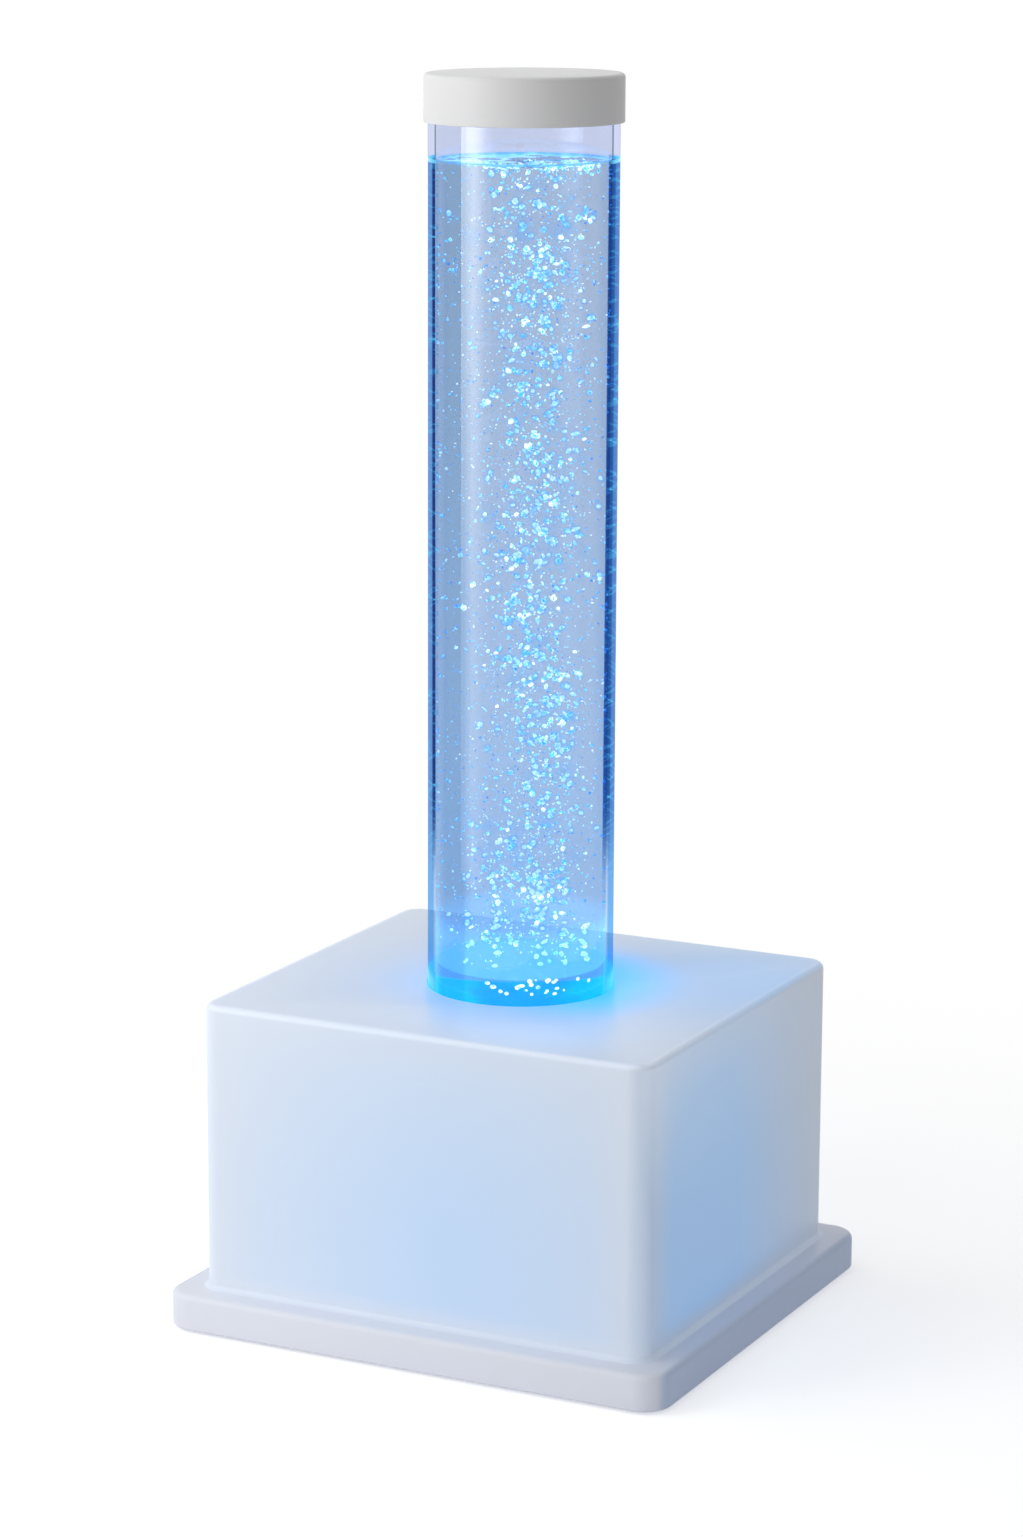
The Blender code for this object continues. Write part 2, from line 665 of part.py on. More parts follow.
def board_posts():
    """Posts whose staked pins hold the control board."""
    posts = []
    pin_top = POST_HEIGHT + BOARD_THICKNESS + 2 * FIT
    profile = [(0, pin_top + PIN_HEAD_HEIGHT), (PIN_RADIUS, pin_top + PIN_HEAD_HEIGHT)]
    profile += [(PIN_HEAD_RADIUS, pin_top), (PIN_RADIUS, pin_top), (PIN_RADIUS, POST_HEIGHT)]
    profile += [(POST_RADIUS, POST_HEIGHT), (POST_RADIUS, -FUSE), (0, -FUSE)]
    for index, at in enumerate(control_corners()):
        posts.append(tool(f"post_{index}", moved(turned(profile, HOLE_STEPS), (*at, PLATE_TOP))))
    return posts


def control_corners():
    """Plan positions of the four posts under the control board."""
    reach_x = CONTROL_WIDTH / 2 - CONTROL_POST_INSET
    reach_y = CONTROL_DEPTH / 2 - CONTROL_POST_INSET
    return [(CONTROL_PLACE[0] + x * reach_x, CONTROL_PLACE[1] + y * reach_y) for x, y in QUARTERS]


def damper_corners():
    """Plan positions of the four rubber mounts of the pump cradle."""
    return [(PUMP_PLACE[0] + x * DAMPER_PITCH_X / 2, PUMP_PLACE[1] + y * DAMPER_PITCH_Y / 2)
            for x, y in QUARTERS]


def pump_pins():
    """Pins on the deck that the rubber mounts slip over."""
    pins = []
    for index, at in enumerate(damper_corners()):
        pin = rod(DAMPER_BORE - FIT, PLATE_TOP - FUSE, PLATE_TOP + DAMPER_HEIGHT, SMALL_STEPS)
        pins.append(tool(f"pump_pin_{index}", moved(pin, (*at, 0))))
    return pins


def build_bottom_cover(parent):
    """The closing sheet with its foot recesses and countersunk screw seats."""
    sheet = rounded_loft(
        PLATE_WIDTH, PLATE_DEPTH, PLATE_CORNER,
        [(COVER_INSET, COVER_TOP), (COVER_INSET, FOOT_PROUD)])
    cover = new_object("bottom_cover", sheet, GREY)
    cuts = []
    seat = FOOT_PROUD + SCREW_HEAD_HEIGHT - FIT
    for index, (side_x, side_y) in enumerate(QUARTERS):
        recess = rod(FOOT_RADIUS + FIT, FOOT_PROUD - OVERRUN, FOOT_PROUD + FOOT_RECESS, ROUND_STEPS)
        cuts.append(tool(f"recess_{index}", moved(recess, (side_x * FOOT_X, side_y * FOOT_Y, 0))))
        at = (side_x * COVER_SCREW_X, side_y * COVER_SCREW_Y)
        cuts.append(pilot(
            f"seat_{index}", FOOT_PROUD - OVERRUN, seat, at, SCREW_HEAD_RADIUS + FIT))
        cuts.append(pilot(f"through_{index}", FOOT_PROUD - OVERRUN, COVER_TOP + OVERRUN, at))
    combine(cover, cuts, "DIFFERENCE")
    place(cover, parent=parent)
    for index, (side_x, side_y) in enumerate(QUARTERS):
        at = (side_x * COVER_SCREW_X, side_y * COVER_SCREW_Y, seat - FIT)
        screw(f"cover_screw_{index + 1}", SHORT_SCREW, at, parent)


def build_feet(parent):
    """Four round rubber feet, stuck into the recesses of the cover."""
    height = FOOT_PROUD + FOOT_RECESS - FIT
    profile = [(0, height), (FOOT_RADIUS, height), (FOOT_RADIUS, FOOT_EDGE)]
    profile += [(FOOT_RADIUS - FOOT_EDGE, 0), (0, 0)]
    for index, (side_x, side_y) in enumerate(QUARTERS):
        foot = new_object(f"foot_{index + 1}", turned(profile, ROUND_STEPS), RUBBER)
        place(foot, (side_x * FOOT_X, side_y * FOOT_Y, 0), parent=parent)


def build_housing(parent):
    """The opal box: a shell, open below, with its tube hole and rear openings."""
    section = [(HOUSING_EDGE, HOUSING_TOP)]
    section += [(HOUSING_EDGE - r, z) for r, z in arc(
        (0, HOUSING_TOP - HOUSING_EDGE), HOUSING_EDGE, 90, 0)][1:]
    section += [(0, HOUSING_BOTTOM), (HOUSING_WALL, HOUSING_BOTTOM)]
    section += [(HOUSING_WALL + HOUSING_INNER_EDGE - r, z) for r, z in arc(
        (0, CEILING - HOUSING_INNER_EDGE), HOUSING_INNER_EDGE, 0, 90)]
    housing = new_object(
        "base_housing", rounded_loft(HOUSING_WIDTH, HOUSING_DEPTH, HOUSING_CORNER, section), OPAL)
    combine(housing, corner_bosses(), "UNION")
    low, high = CEILING - OVERRUN, HOUSING_TOP + OVERRUN
    cuts = [tool("tube_hole", rod(TUBE_RADIUS + FIT, low, high, COLUMN_STEPS))]
    depth_low, depth_high = REAR_INNER - OVERRUN, REAR_FACE + OVERRUN
    for name, column in (("jack_hole", -1), ("button_hole", 1)):
        hole = rod(BARREL_HOLE, -depth_high, -depth_low, ROUND_STEPS)
        hole = moved(hole, (column * PANEL_PITCH, 0, PANEL_HEIGHT), QUARTER_TURN, "X")
        cuts.append(tool(name, hole))
    half_width = SWITCH_BODY_WIDTH / 2 + FIT
    half_height = SWITCH_BODY_HEIGHT / 2 + FIT
    cuts.append(tool("switch_hole", block(
        (-half_width, depth_low, PANEL_HEIGHT - half_height),
        (half_width, depth_high, PANEL_HEIGHT + half_height))))
    for index, (side_x, side_y) in enumerate(QUARTERS):
        depth = HOUSING_BOTTOM + LONG_SCREW + PILOT_SPARE
        at = (side_x * BOSS_X, side_y * BOSS_Y)
        cuts.append(pilot(f"boss_hole_{index}", HOUSING_BOTTOM - OVERRUN, depth, at))
    combine(housing, cuts, "DIFFERENCE")
    return place(housing, parent=parent)


def corner_bosses():
    """Screw bosses that grow out of the four inner corners of the housing."""
    bosses = []
    top = HOUSING_BOTTOM + CORNER_BOSS_HEIGHT
    profile = [(0, top + CORNER_BOSS_CONE), (CORNER_BOSS_RADIUS, top)]
    profile += [(CORNER_BOSS_RADIUS, HOUSING_BOTTOM), (0, HOUSING_BOTTOM)]
    for index, (side_x, side_y) in enumerate(QUARTERS):
        boss = moved(turned(profile, ROUND_STEPS), (side_x * BOSS_X, side_y * BOSS_Y, 0))
        bosses.append(tool(f"corner_boss_{index}", boss))
    return bosses


def build_housing_screws(parent):
    """Screws from under the deck into the housing and into the legs of the stand."""
    seat = DECK_UNDERSIDE - FIT
    for index, (side_x, side_y) in enumerate(QUARTERS):
        screw(f"housing_screw_{index + 1}", LONG_SCREW, (side_x * BOSS_X, side_y * BOSS_Y, seat),
              parent)
        screw(f"stand_screw_{index + 1}", LONG_SCREW,
              (side_x * LEG_REACH, side_y * LEG_REACH, seat), parent)


def build_stand(parent):
    """The four-legged cup that carries the tube, with its gussets and window lip."""
    flange_bottom = STAND_TOP - STAND_FLANGE
    flange_radius = LEG_CIRCLE_RADIUS + LEG_TOP_RADIUS + STAND_FLANGE_MARGIN
    lip_low = CUP_BOTTOM + STAND_LIP_HEIGHT
    lip_high = lip_low + STAND_LIP_THICKNESS
    lip_radius = STAND_BORE_RADIUS - STAND_LIP
    tube_seat = TUBE_RADIUS + FIT
    profile = [(tube_seat, STAND_TOP), (flange_radius, STAND_TOP), (flange_radius, flange_bottom)]
    profile += [(CUP_RADIUS, flange_bottom), (CUP_RADIUS, CUP_BOTTOM)]
    profile += [(STAND_BORE_RADIUS, CUP_BOTTOM), (STAND_BORE_RADIUS, lip_low)]
    profile += [(lip_radius, lip_low), (lip_radius, lip_high), (STAND_BORE_RADIUS, lip_high)]
    profile += [(STAND_BORE_RADIUS, LEDGE), (tube_seat, LEDGE)]
    stand = new_object("tube_stand", turned(profile, COLUMN_STEPS), WHITE)
    additions = []
    leg_top = flange_bottom + FUSE
    leg = [(0, leg_top), (LEG_TOP_RADIUS, leg_top), (LEG_FOOT_RADIUS, LEG_BOTTOM), (0, LEG_BOTTOM)]
    for index in range(LEG_COUNT):
        turn = EIGHTH_TURN + math.tau * index / LEG_COUNT
        column = moved(turned(leg, LEG_STEPS), (LEG_CIRCLE_RADIUS, 0, 0))
        additions.append(tool(f"leg_{index}", moved(column, turn=turn)))
        gusset = block((CUP_RADIUS - OVERRUN, -GUSSET_THICKNESS / 2, CUP_BOTTOM + FUSE),
                       (LEG_CIRCLE_RADIUS, GUSSET_THICKNESS / 2, leg_top))
        additions.append(tool(f"gusset_{index}", moved(gusset, turn=turn)))
    combine(stand, additions, "UNION")
    cuts = []
    for index in range(LEG_COUNT):
        turn = EIGHTH_TURN + math.tau * index / LEG_COUNT
        hole = rod(PILOT_RADIUS, LEG_BOTTOM - OVERRUN, LEG_BOTTOM + LONG_SCREW, SMALL_STEPS)
        hole = moved(moved(hole, (LEG_CIRCLE_RADIUS, 0, 0)), turn=turn)
        cuts.append(tool(f"leg_hole_{index}", hole))
    for index, turn in enumerate(sink_screw_angles()):
        hole = rod(PILOT_RADIUS, CUP_BOTTOM - OVERRUN, CUP_BOTTOM + SHORT_SCREW, SMALL_STEPS)
        hole = moved(moved(hole, (SINK_SCREW_CIRCLE, 0, 0)), turn=turn)
        cuts.append(tool(f"cup_hole_{index}", hole))
    combine(stand, cuts, "DIFFERENCE")
    return place(stand, parent=parent)


def sink_screw_angles():
    """Angles of the heat sink's screws round the cup."""
    return [math.tau * (index + SINK_SCREW_TURN_SHARE) / SINK_SCREWS for index in range(SINK_SCREWS)]


def build_light(parent):
    """LED board, its clear drip window and the finned heat sink below it."""
    board_radius = STAND_BORE_RADIUS - FIT
    board = new_object("led_board", ring(
        LED_BOARD_BORE, board_radius, 0, BOARD_THICKNESS, DISC_STEPS), BOARD_WHITE)
    additions = []
    for index in range(LED_COUNT):
        turn = math.tau * (index + 1 / 2) / LED_COUNT
        base = centered_block(
            LED_SIDE, LED_SIDE, BOARD_THICKNESS - FUSE, BOARD_THICKNESS + LED_BASE,
            (LED_CIRCLE_RADIUS, 0))
        additions.append(tool(f"led_base_{index}", moved(base, turn=turn)))
        dome_foot = BOARD_THICKNESS + LED_BASE
        dome = [(LED_DOME, dome_foot - FUSE / 2)] + arc((0, dome_foot), LED_DOME, 0, 90, 2)
        dome += [(0, dome_foot - FUSE / 2)]
        lens = moved(turned(dome, SMALL_STEPS), (LED_CIRCLE_RADIUS, 0, 0))
        additions.append(tool(f"led_lens_{index}", moved(lens, turn=turn)))
    combine(board, additions, "UNION")
    place(board, (0, 0, BOARD_BOTTOM), parent=parent)

    window_low = CUP_BOTTOM + STAND_LIP_HEIGHT + STAND_LIP_THICKNESS + FIT
    window = new_object("led_window", ring(
        INLET_STEM_RADIUS + FIT, board_radius, 0, WINDOW_THICKNESS, DISC_STEPS), CLEAR)
    place(window, (0, 0, window_low), parent=parent)

    sink = new_object("heat_sink", rod(SINK_RADIUS, SINK_BOTTOM, SINK_TOP, DISC_STEPS), ALUMINIUM)
    fins = []
    span = SINK_FIN_REACH * 2
    for index in range(SINK_FINS):
        offset = span * ((index + 1 / 2) / SINK_FINS - 1 / 2)
        half = math.sqrt(SINK_FIN_REACH ** 2 - offset ** 2)
        fin = centered_block(
            SINK_FIN_THICKNESS, 2 * half, FIN_BOTTOM, SINK_BOTTOM + FUSE, (offset, 0))
        fins.append(tool(f"fin_{index}", fin))
    combine(sink, fins, "UNION")
    cuts = [tool("sink_bore", rod(SINK_BORE, SINK_BOTTOM - OVERRUN, SINK_TOP + OVERRUN, ROUND_STEPS))]
    cuts.append(tool("sink_clear", rod(
        SINK_CLEAR_RADIUS, FIN_BOTTOM - OVERRUN, SINK_BOTTOM, ROUND_STEPS)))
    cuts.append(pilot(
        "lead_hole", FIN_BOTTOM - OVERRUN, SINK_TOP + OVERRUN, (LED_LEAD_PLACE, 0),
        LEAD_RADIUS + FIT))
    for index, turn in enumerate(sink_screw_angles()):
        at = (SINK_SCREW_CIRCLE * math.cos(turn), SINK_SCREW_CIRCLE * math.sin(turn))
        cuts.append(pilot(f"sink_hole_{index}", SINK_BOTTOM - OVERRUN, SINK_TOP + OVERRUN, at))
        screw(f"heat_sink_screw_{index + 1}", SHORT_SCREW, (*at, SINK_BOTTOM - FIT), parent)
    combine(sink, cuts, "DIFFERENCE")
    place(sink, parent=parent)


def build_tube(parent):
    """The acrylic tube, its bonded floor, the perforated plate and the water."""
    tube = new_object(
        "bubble_tube", ring(TUBE_BORE, TUBE_RADIUS, TUBE_BOTTOM, TUBE_TOP, COLUMN_STEPS), CLEAR)
    place(tube, parent=parent)
    floor = new_object("tube_floor", ring(
        INLET_STEM_RADIUS + FIT, INNER_DISC_RADIUS, FLOOR_BOTTOM, FLOOR_TOP, DISC_STEPS),
        CYAN_CLEAR)
    place(floor, parent=parent)
    plenum_top = BUBBLE_PLATE_BOTTOM + PLENUM_DEPTH
    profile = [(0, BUBBLE_PLATE_TOP), (INNER_DISC_RADIUS, BUBBLE_PLATE_TOP)]
    profile += [(INNER_DISC_RADIUS, BUBBLE_PLATE_BOTTOM), (PLENUM_RADIUS, BUBBLE_PLATE_BOTTOM)]
    profile += [(PLENUM_RADIUS, plenum_top), (0, plenum_top)]
    plate = new_object("bubble_plate", turned(profile, DISC_STEPS), CYAN_CLEAR)
    holes = []
    low, high = plenum_top - OVERRUN, BUBBLE_PLATE_TOP + OVERRUN
    for index, at in enumerate(air_hole_places()):
        hole = moved(rod(AIR_HOLE_RADIUS, low, high, HOLE_STEPS), (*at, 0), math.pi / DISC_STEPS)
        holes.append(tool(f"air_hole_{index}", hole))
    combine(plate, holes, "DIFFERENCE")
    place(plate, parent=parent)
    water = new_object("water_column", rod(
        INNER_DISC_RADIUS, BUBBLE_PLATE_TOP + FIT, WATER_LEVEL, COLUMN_STEPS), WATER)
    place(water, parent=parent)


def air_hole_places():
    """Plan positions of the fine air holes: one in the middle and rings round it."""
    places = [(0, 0)]
    for layer in range(1, AIR_RINGS + 1):
        count = AIR_HOLES_PER_RING * layer
        for index in range(count):
            turn = math.tau * index / count
            reach = AIR_RING_PITCH * layer
            places.append((reach * math.cos(turn), reach * math.sin(turn)))
    return places


def build_inlet(parent):
    """The bulkhead fitting through the tube floor, with its seal and nut."""
    barb_tip = INLET_SHOULDER_HEIGHT - BARB_LENGTH
    head_top = FLOOR_TOP + FIT + INLET_HEAD_HEIGHT
    profile = [(AIR_BORE, head_top), (INLET_HEAD_RADIUS, head_top)]
    profile += [(INLET_HEAD_RADIUS, FLOOR_TOP + FIT), (INLET_STEM_RADIUS, FLOOR_TOP + FIT)]
    profile += [(INLET_STEM_RADIUS, INLET_SHOULDER_HEIGHT), (BARB_RADIUS, INLET_SHOULDER_HEIGHT)]
    profile += [(BARB_RADIUS, barb_tip), (AIR_BORE, barb_tip)]
    place(new_object("air_inlet", turned(profile, ROUND_STEPS), BRASS), parent=parent)

    seal_top = FLOOR_BOTTOM - FIT
    seal_low = seal_top - INLET_SEAL_HEIGHT
    seal_bore = INLET_STEM_RADIUS + FIT
    seal = ring(seal_bore, INLET_HEAD_RADIUS, seal_low, seal_top, ROUND_STEPS)
    place(new_object("inlet_seal", seal, RUBBER), parent=parent)
    nut = hex_nut("inlet_nut", INLET_NUT_RADIUS, seal_bore, INLET_NUT_HEIGHT, BRASS)
    place(nut, (0, 0, seal_low - FIT - INLET_NUT_HEIGHT), parent=parent)


def hex_nut(name, radius, bore, height, look):
    """A six-sided nut with a round bore, standing on the origin."""
    nut = new_object(name, lofted([
        polygon_ring(radius, height, 6), polygon_ring(radius, 0, 6)]), look)
    combine(nut, [tool("nut_bore", rod(bore, -OVERRUN, height + OVERRUN, ROUND_STEPS))],
            "DIFFERENCE")
    return nut


def build_cap(parent):
    """The push-on lid, vented through notches in its spigot and its soft cushion."""
    rim = OVERALL_HEIGHT - CAP_HEIGHT
    skirt_bore = TUBE_RADIUS + FIT
    radius = skirt_bore + CAP_SKIRT
    spigot_low = CAP_UNDERSIDE - CAP_SPIGOT_DEPTH
    spigot_bore = INNER_DISC_RADIUS - CAP_SPIGOT_WALL
    profile = [(0, OVERALL_HEIGHT)]
    profile += arc((radius - CAP_TOP_EDGE, OVERALL_HEIGHT - CAP_TOP_EDGE), CAP_TOP_EDGE, 90, 0)
    profile += arc((radius - CAP_RIM_EDGE, rim + CAP_RIM_EDGE), CAP_RIM_EDGE, 0, -90, 1)
    profile += [(skirt_bore, rim), (skirt_bore, CAP_UNDERSIDE)]
    profile += [(INNER_DISC_RADIUS, CAP_UNDERSIDE), (INNER_DISC_RADIUS, spigot_low)]
    profile += [(spigot_bore, spigot_low), (spigot_bore, CAP_UNDERSIDE), (0, CAP_UNDERSIDE)]
    cap = new_object("cap", turned(profile, COLUMN_STEPS), WHITE)
    notches = []
    for index in range(CAP_VENTS):
        notch = block((spigot_bore - OVERRUN, -CAP_VENT_WIDTH / 2, spigot_low - OVERRUN),
                      (INNER_DISC_RADIUS + FIT, CAP_VENT_WIDTH / 2, CAP_UNDERSIDE - FUSE))
        notches.append(tool(f"cap_vent_{index}", moved(notch, turn=math.tau * index / CAP_VENTS)))
    combine(cap, notches, "DIFFERENCE")
    place(cap, parent=parent)

    low = TUBE_TOP + FIT
    high = low + CUSHION_THICKNESS
    cushion = new_object("cap_cushion", ring(
        TUBE_BORE + FIT, TUBE_RADIUS - FIT, low, high, DISC_STEPS), SILICONE)
    grooves = []
    for index in range(CAP_VENTS):
        groove = block((TUBE_BORE - OVERRUN, -CAP_VENT_WIDTH / 2, high - CUSHION_VENT_DEPTH),
                       (TUBE_RADIUS + OVERRUN, CAP_VENT_WIDTH / 2, high + OVERRUN))
        grooves.append(tool(f"groove_{index}", moved(groove, turn=math.tau * index / CAP_VENTS)))
    combine(cushion, grooves, "DIFFERENCE")
    place(cushion, parent=parent)


def build_air_line(parent):
    """Check valve and the two lengths of hose between the pump and the inlet."""
    neck = VALVE_SHOULDER
    profile = [(AIR_BORE, VALVE_TOP + BARB_LENGTH), (BARB_RADIUS, VALVE_TOP + BARB_LENGTH)]
    profile += [(BARB_RADIUS, VALVE_TOP), (VALVE_WAIST, VALVE_TOP)]
    profile += [(VALVE_RADIUS, VALVE_TOP - neck), (VALVE_RADIUS, VALVE_BOTTOM + neck)]
    profile += [(VALVE_WAIST, VALVE_BOTTOM), (BARB_RADIUS, VALVE_BOTTOM)]
    profile += [(BARB_RADIUS, VALVE_BOTTOM - BARB_LENGTH), (AIR_BORE, VALVE_BOTTOM - BARB_LENGTH)]
    valve = new_object("check_valve", turned(profile, ROUND_STEPS), SILICONE)
    place(valve, parent=parent)

    hose("upper_air_hose", [
        (0, 0, VALVE_TOP + FIT), (0, 0, INLET_SHOULDER_HEIGHT - FIT)], SILICONE, parent)
    start = Vector((SPOUT_SHOULDER_X + FIT, SPOUT_Y, PUMP_AXIS))
    end = Vector((0, 0, VALVE_BOTTOM - FIT))
    ease = BARB_LENGTH
    rise = end.z - start.z
    bends = [Vector((start.x * share_x, start.y * share_y, start.z + rise * share_z))
             for share_x, share_y, share_z in HOSE_ROUTE_SHARES]
    hose("lower_air_hose", [
        start, start + Vector((ease, 0, 0)), *bends, end - Vector((0, 0, ease)), end],
        SILICONE, parent)


def build_pump(parent):
    """The small diaphragm pump: motor, head, cradle, strap and rubber mounts."""
    at_x, at_y = PUMP_PLACE
    half = MOTOR_LENGTH / 2
    profile = [(0, half + MOTOR_HUB_LENGTH), (MOTOR_HUB_RADIUS, half + MOTOR_HUB_LENGTH)]
    profile += [(MOTOR_HUB_RADIUS, half), (MOTOR_RADIUS - MOTOR_EDGE, half)]
    profile += [(MOTOR_RADIUS, half - MOTOR_EDGE), (MOTOR_RADIUS, -half), (0, -half)]
    motor = moved(turned(profile, MOTOR_STEPS), turn=-QUARTER_TURN, axis="X")
    place(new_object("pump_motor", motor, STEEL), (at_x, at_y, PUMP_AXIS), parent=parent)

    side = PUMP_HEAD_SIDE
    head = rounded_loft(side, side, PUMP_HEAD_CORNER, [
        (PUMP_SPOUT_LENGTH / 2, PUMP_HEAD_LENGTH / 2),
        (0, PUMP_HEAD_LENGTH / 2 - PUMP_SPOUT_LENGTH / 2), (0, -PUMP_HEAD_LENGTH / 2)])
    head = new_object("pump_head", moved(head, turn=QUARTER_TURN, axis="X"), BLACK)
    spout = [(0, BARB_LENGTH + PUMP_SPOUT_LENGTH), (BARB_RADIUS, BARB_LENGTH + PUMP_SPOUT_LENGTH)]
    spout += [(BARB_RADIUS, PUMP_SPOUT_LENGTH), (PUMP_SPOUT_RADIUS, PUMP_SPOUT_LENGTH)]
    spout += [(PUMP_SPOUT_RADIUS, -FUSE), (0, -FUSE)]
    outlet = moved(turned(spout, SMALL_STEPS), (side / 2, 0, 0), QUARTER_TURN, "Y")
    intake = rod(PUMP_SPOUT_RADIUS, -FUSE, PUMP_SPOUT_LENGTH, SMALL_STEPS)
    intake = moved(intake, (-side / 2, 0, 0), -QUARTER_TURN, "Y")
    combine(head, [tool("outlet", outlet), tool("intake", intake)], "UNION")
    place(head, (at_x, SPOUT_Y, PUMP_AXIS), parent=parent)

    build_cradle(parent)
    build_strap(parent)
    damper_top = PLATE_TOP + FIT + DAMPER_HEIGHT
    low = PLATE_TOP + FIT
    groove_low = low + DAMPER_LOWER
    profile = [(DAMPER_BORE, damper_top), (DAMPER_RADIUS, damper_top)]
    profile += [(DAMPER_RADIUS, groove_low + DAMPER_GAP), (DAMPER_WAIST, groove_low + DAMPER_GAP)]
    profile += [(DAMPER_WAIST, groove_low), (DAMPER_RADIUS, groove_low), (DAMPER_RADIUS, low)]
    profile += [(DAMPER_BORE, low)]
    for index, at in enumerate(damper_corners()):
        damper = new_object(f"pump_damper_{index + 1}", turned(profile, SMALL_STEPS), RUBBER)
        place(damper, (*at, 0), parent=parent)


def build_cradle(parent):
    """The saddle under the motor, on a slab with four holes for the rubber mounts."""
    at_x, at_y = PUMP_PLACE
    slab_top = CRADLE_BOTTOM + CRADLE_SLAB
    width = DAMPER_PITCH_X + 2 * (DAMPER_RADIUS + FIT)
    depth = DAMPER_PITCH_Y + 2 * (DAMPER_RADIUS + FIT)
    slab = rounded_loft(width, depth, CRADLE_CORNER, [(0, slab_top), (0, CRADLE_BOTTOM)])
    cradle = new_object("pump_cradle", slab, WHITE)
    saddle_top = PUMP_AXIS - FIT
    saddle = centered_block(CRADLE_BLOCK_WIDTH, CRADLE_BLOCK_DEPTH, slab_top - FUSE, saddle_top)
    combine(cradle, [tool("saddle", saddle)], "UNION")
    trough = rod(MOTOR_RADIUS + FIT, -CRADLE_BLOCK_DEPTH, CRADLE_BLOCK_DEPTH, MOTOR_STEPS)
    cuts = [tool("trough", moved(trough, (0, 0, PUMP_AXIS), QUARTER_TURN, "X"))]
    for index, (side_x, side_y) in enumerate(QUARTERS):
        at = (side_x * DAMPER_PITCH_X / 2, side_y * DAMPER_PITCH_Y / 2)
        cuts.append(pilot(f"damper_hole_{index}", CRADLE_BOTTOM - OVERRUN, slab_top + OVERRUN, at,
                          DAMPER_WAIST + FIT))
    for index, side in enumerate((-1, 1)):
        cuts.append(pilot(f"strap_pilot_{index}", saddle_top - SHORT_SCREW, saddle_top + OVERRUN,
                          (side * STRAP_SCREW_PLACE, 0)))
    combine(cradle, cuts, "DIFFERENCE")
    place(cradle, (at_x, at_y, 0), parent=parent)


def build_strap(parent):
    """The half-round strap over the motor and its two screws."""
    inner = MOTOR_RADIUS + FIT
    outer = inner + STRAP_THICKNESS
    half_width = CRADLE_BLOCK_WIDTH / 2
    outline = [(half_width, 0), (half_width, STRAP_THICKNESS)]
    lift = math.degrees(math.asin(STRAP_THICKNESS / outer))
    outline += arc((0, 0), outer, lift, 180 - lift, MOTOR_STEPS // 2)
    outline += [(-half_width, STRAP_THICKNESS), (-half_width, 0)]
    outline += arc((0, 0), inner, 180, 0, MOTOR_STEPS // 2)
    half_depth = CRADLE_BLOCK_DEPTH / 2
    body = lofted([[(x, side * half_depth, z) for x, z in outline] for side in (-1, 1)])
    strap = new_object("pump_strap", body, STEEL)
    cuts = []
    for index, side in enumerate((-1, 1)):
        cuts.append(pilot(f"strap_hole_{index}", -OVERRUN, STRAP_THICKNESS + OVERRUN,
                          (side * STRAP_SCREW_PLACE, 0)))
        screw(f"strap_screw_{index + 1}", SHORT_SCREW - PILOT_SPARE,
              (PUMP_PLACE[0] + side * STRAP_SCREW_PLACE, PUMP_PLACE[1],
               PUMP_AXIS + STRAP_THICKNESS + FIT), parent, head_up=True)
    combine(strap, cuts, "DIFFERENCE")
    place(strap, (*PUMP_PLACE, PUMP_AXIS), parent=parent)


def control_point(share):
    """Plan position on the control board from shares of its half width and half depth."""
    return (CONTROL_PLACE[0] + share[0] * CONTROL_WIDTH / 2,
            CONTROL_PLACE[1] + share[1] * CONTROL_DEPTH / 2)


def build_control_board(parent):
    """The circuit board with its connectors, capacitors, coil and chip soldered on."""
    board = rounded_loft(CONTROL_WIDTH, CONTROL_DEPTH, CONTROL_CORNER, [
        (0, CONTROL_TOP), (0, CONTROL_BOTTOM)])
    board = new_object("control_board", moved(board, (*CONTROL_PLACE, 0)), BOARD_GREEN)
    additions = []
    kinds = (("connector", CONNECTOR_SHARES, CONNECTOR_SIZE), ("chip", CHIP_SHARES, CHIP_SIZE),
             ("coil", COIL_SHARES, COIL_SIZE))
    for kind, shares, (width, depth, height) in kinds:
        for index, share in enumerate(shares):
            part = centered_block(
                width, depth, CONTROL_TOP - FUSE, CONTROL_TOP + height, control_point(share))
            additions.append(tool(f"{kind}_{index}", part))
    for index, share in enumerate(CAPACITOR_SHARES):
        can = rod(CAPACITOR_RADIUS, CONTROL_TOP - FUSE, CONTROL_TOP + CAPACITOR_HEIGHT, SMALL_STEPS)
        additions.append(tool(f"capacitor_{index}", moved(can, (*control_point(share), 0))))
    combine(board, additions, "UNION")
    cuts = [pilot(f"pin_hole_{index}", CONTROL_BOTTOM - OVERRUN, CONTROL_TOP + OVERRUN, at,
                  PIN_RADIUS + FIT) for index, at in enumerate(control_corners())]
    combine(board, cuts, "DIFFERENCE")
    place(board, parent=parent)


def rear_place(column):
    """Where a panel fitting meets the rear face, by its column on the panel."""
    return (column * PANEL_PITCH, REAR_FACE + FIT, PANEL_HEIGHT)


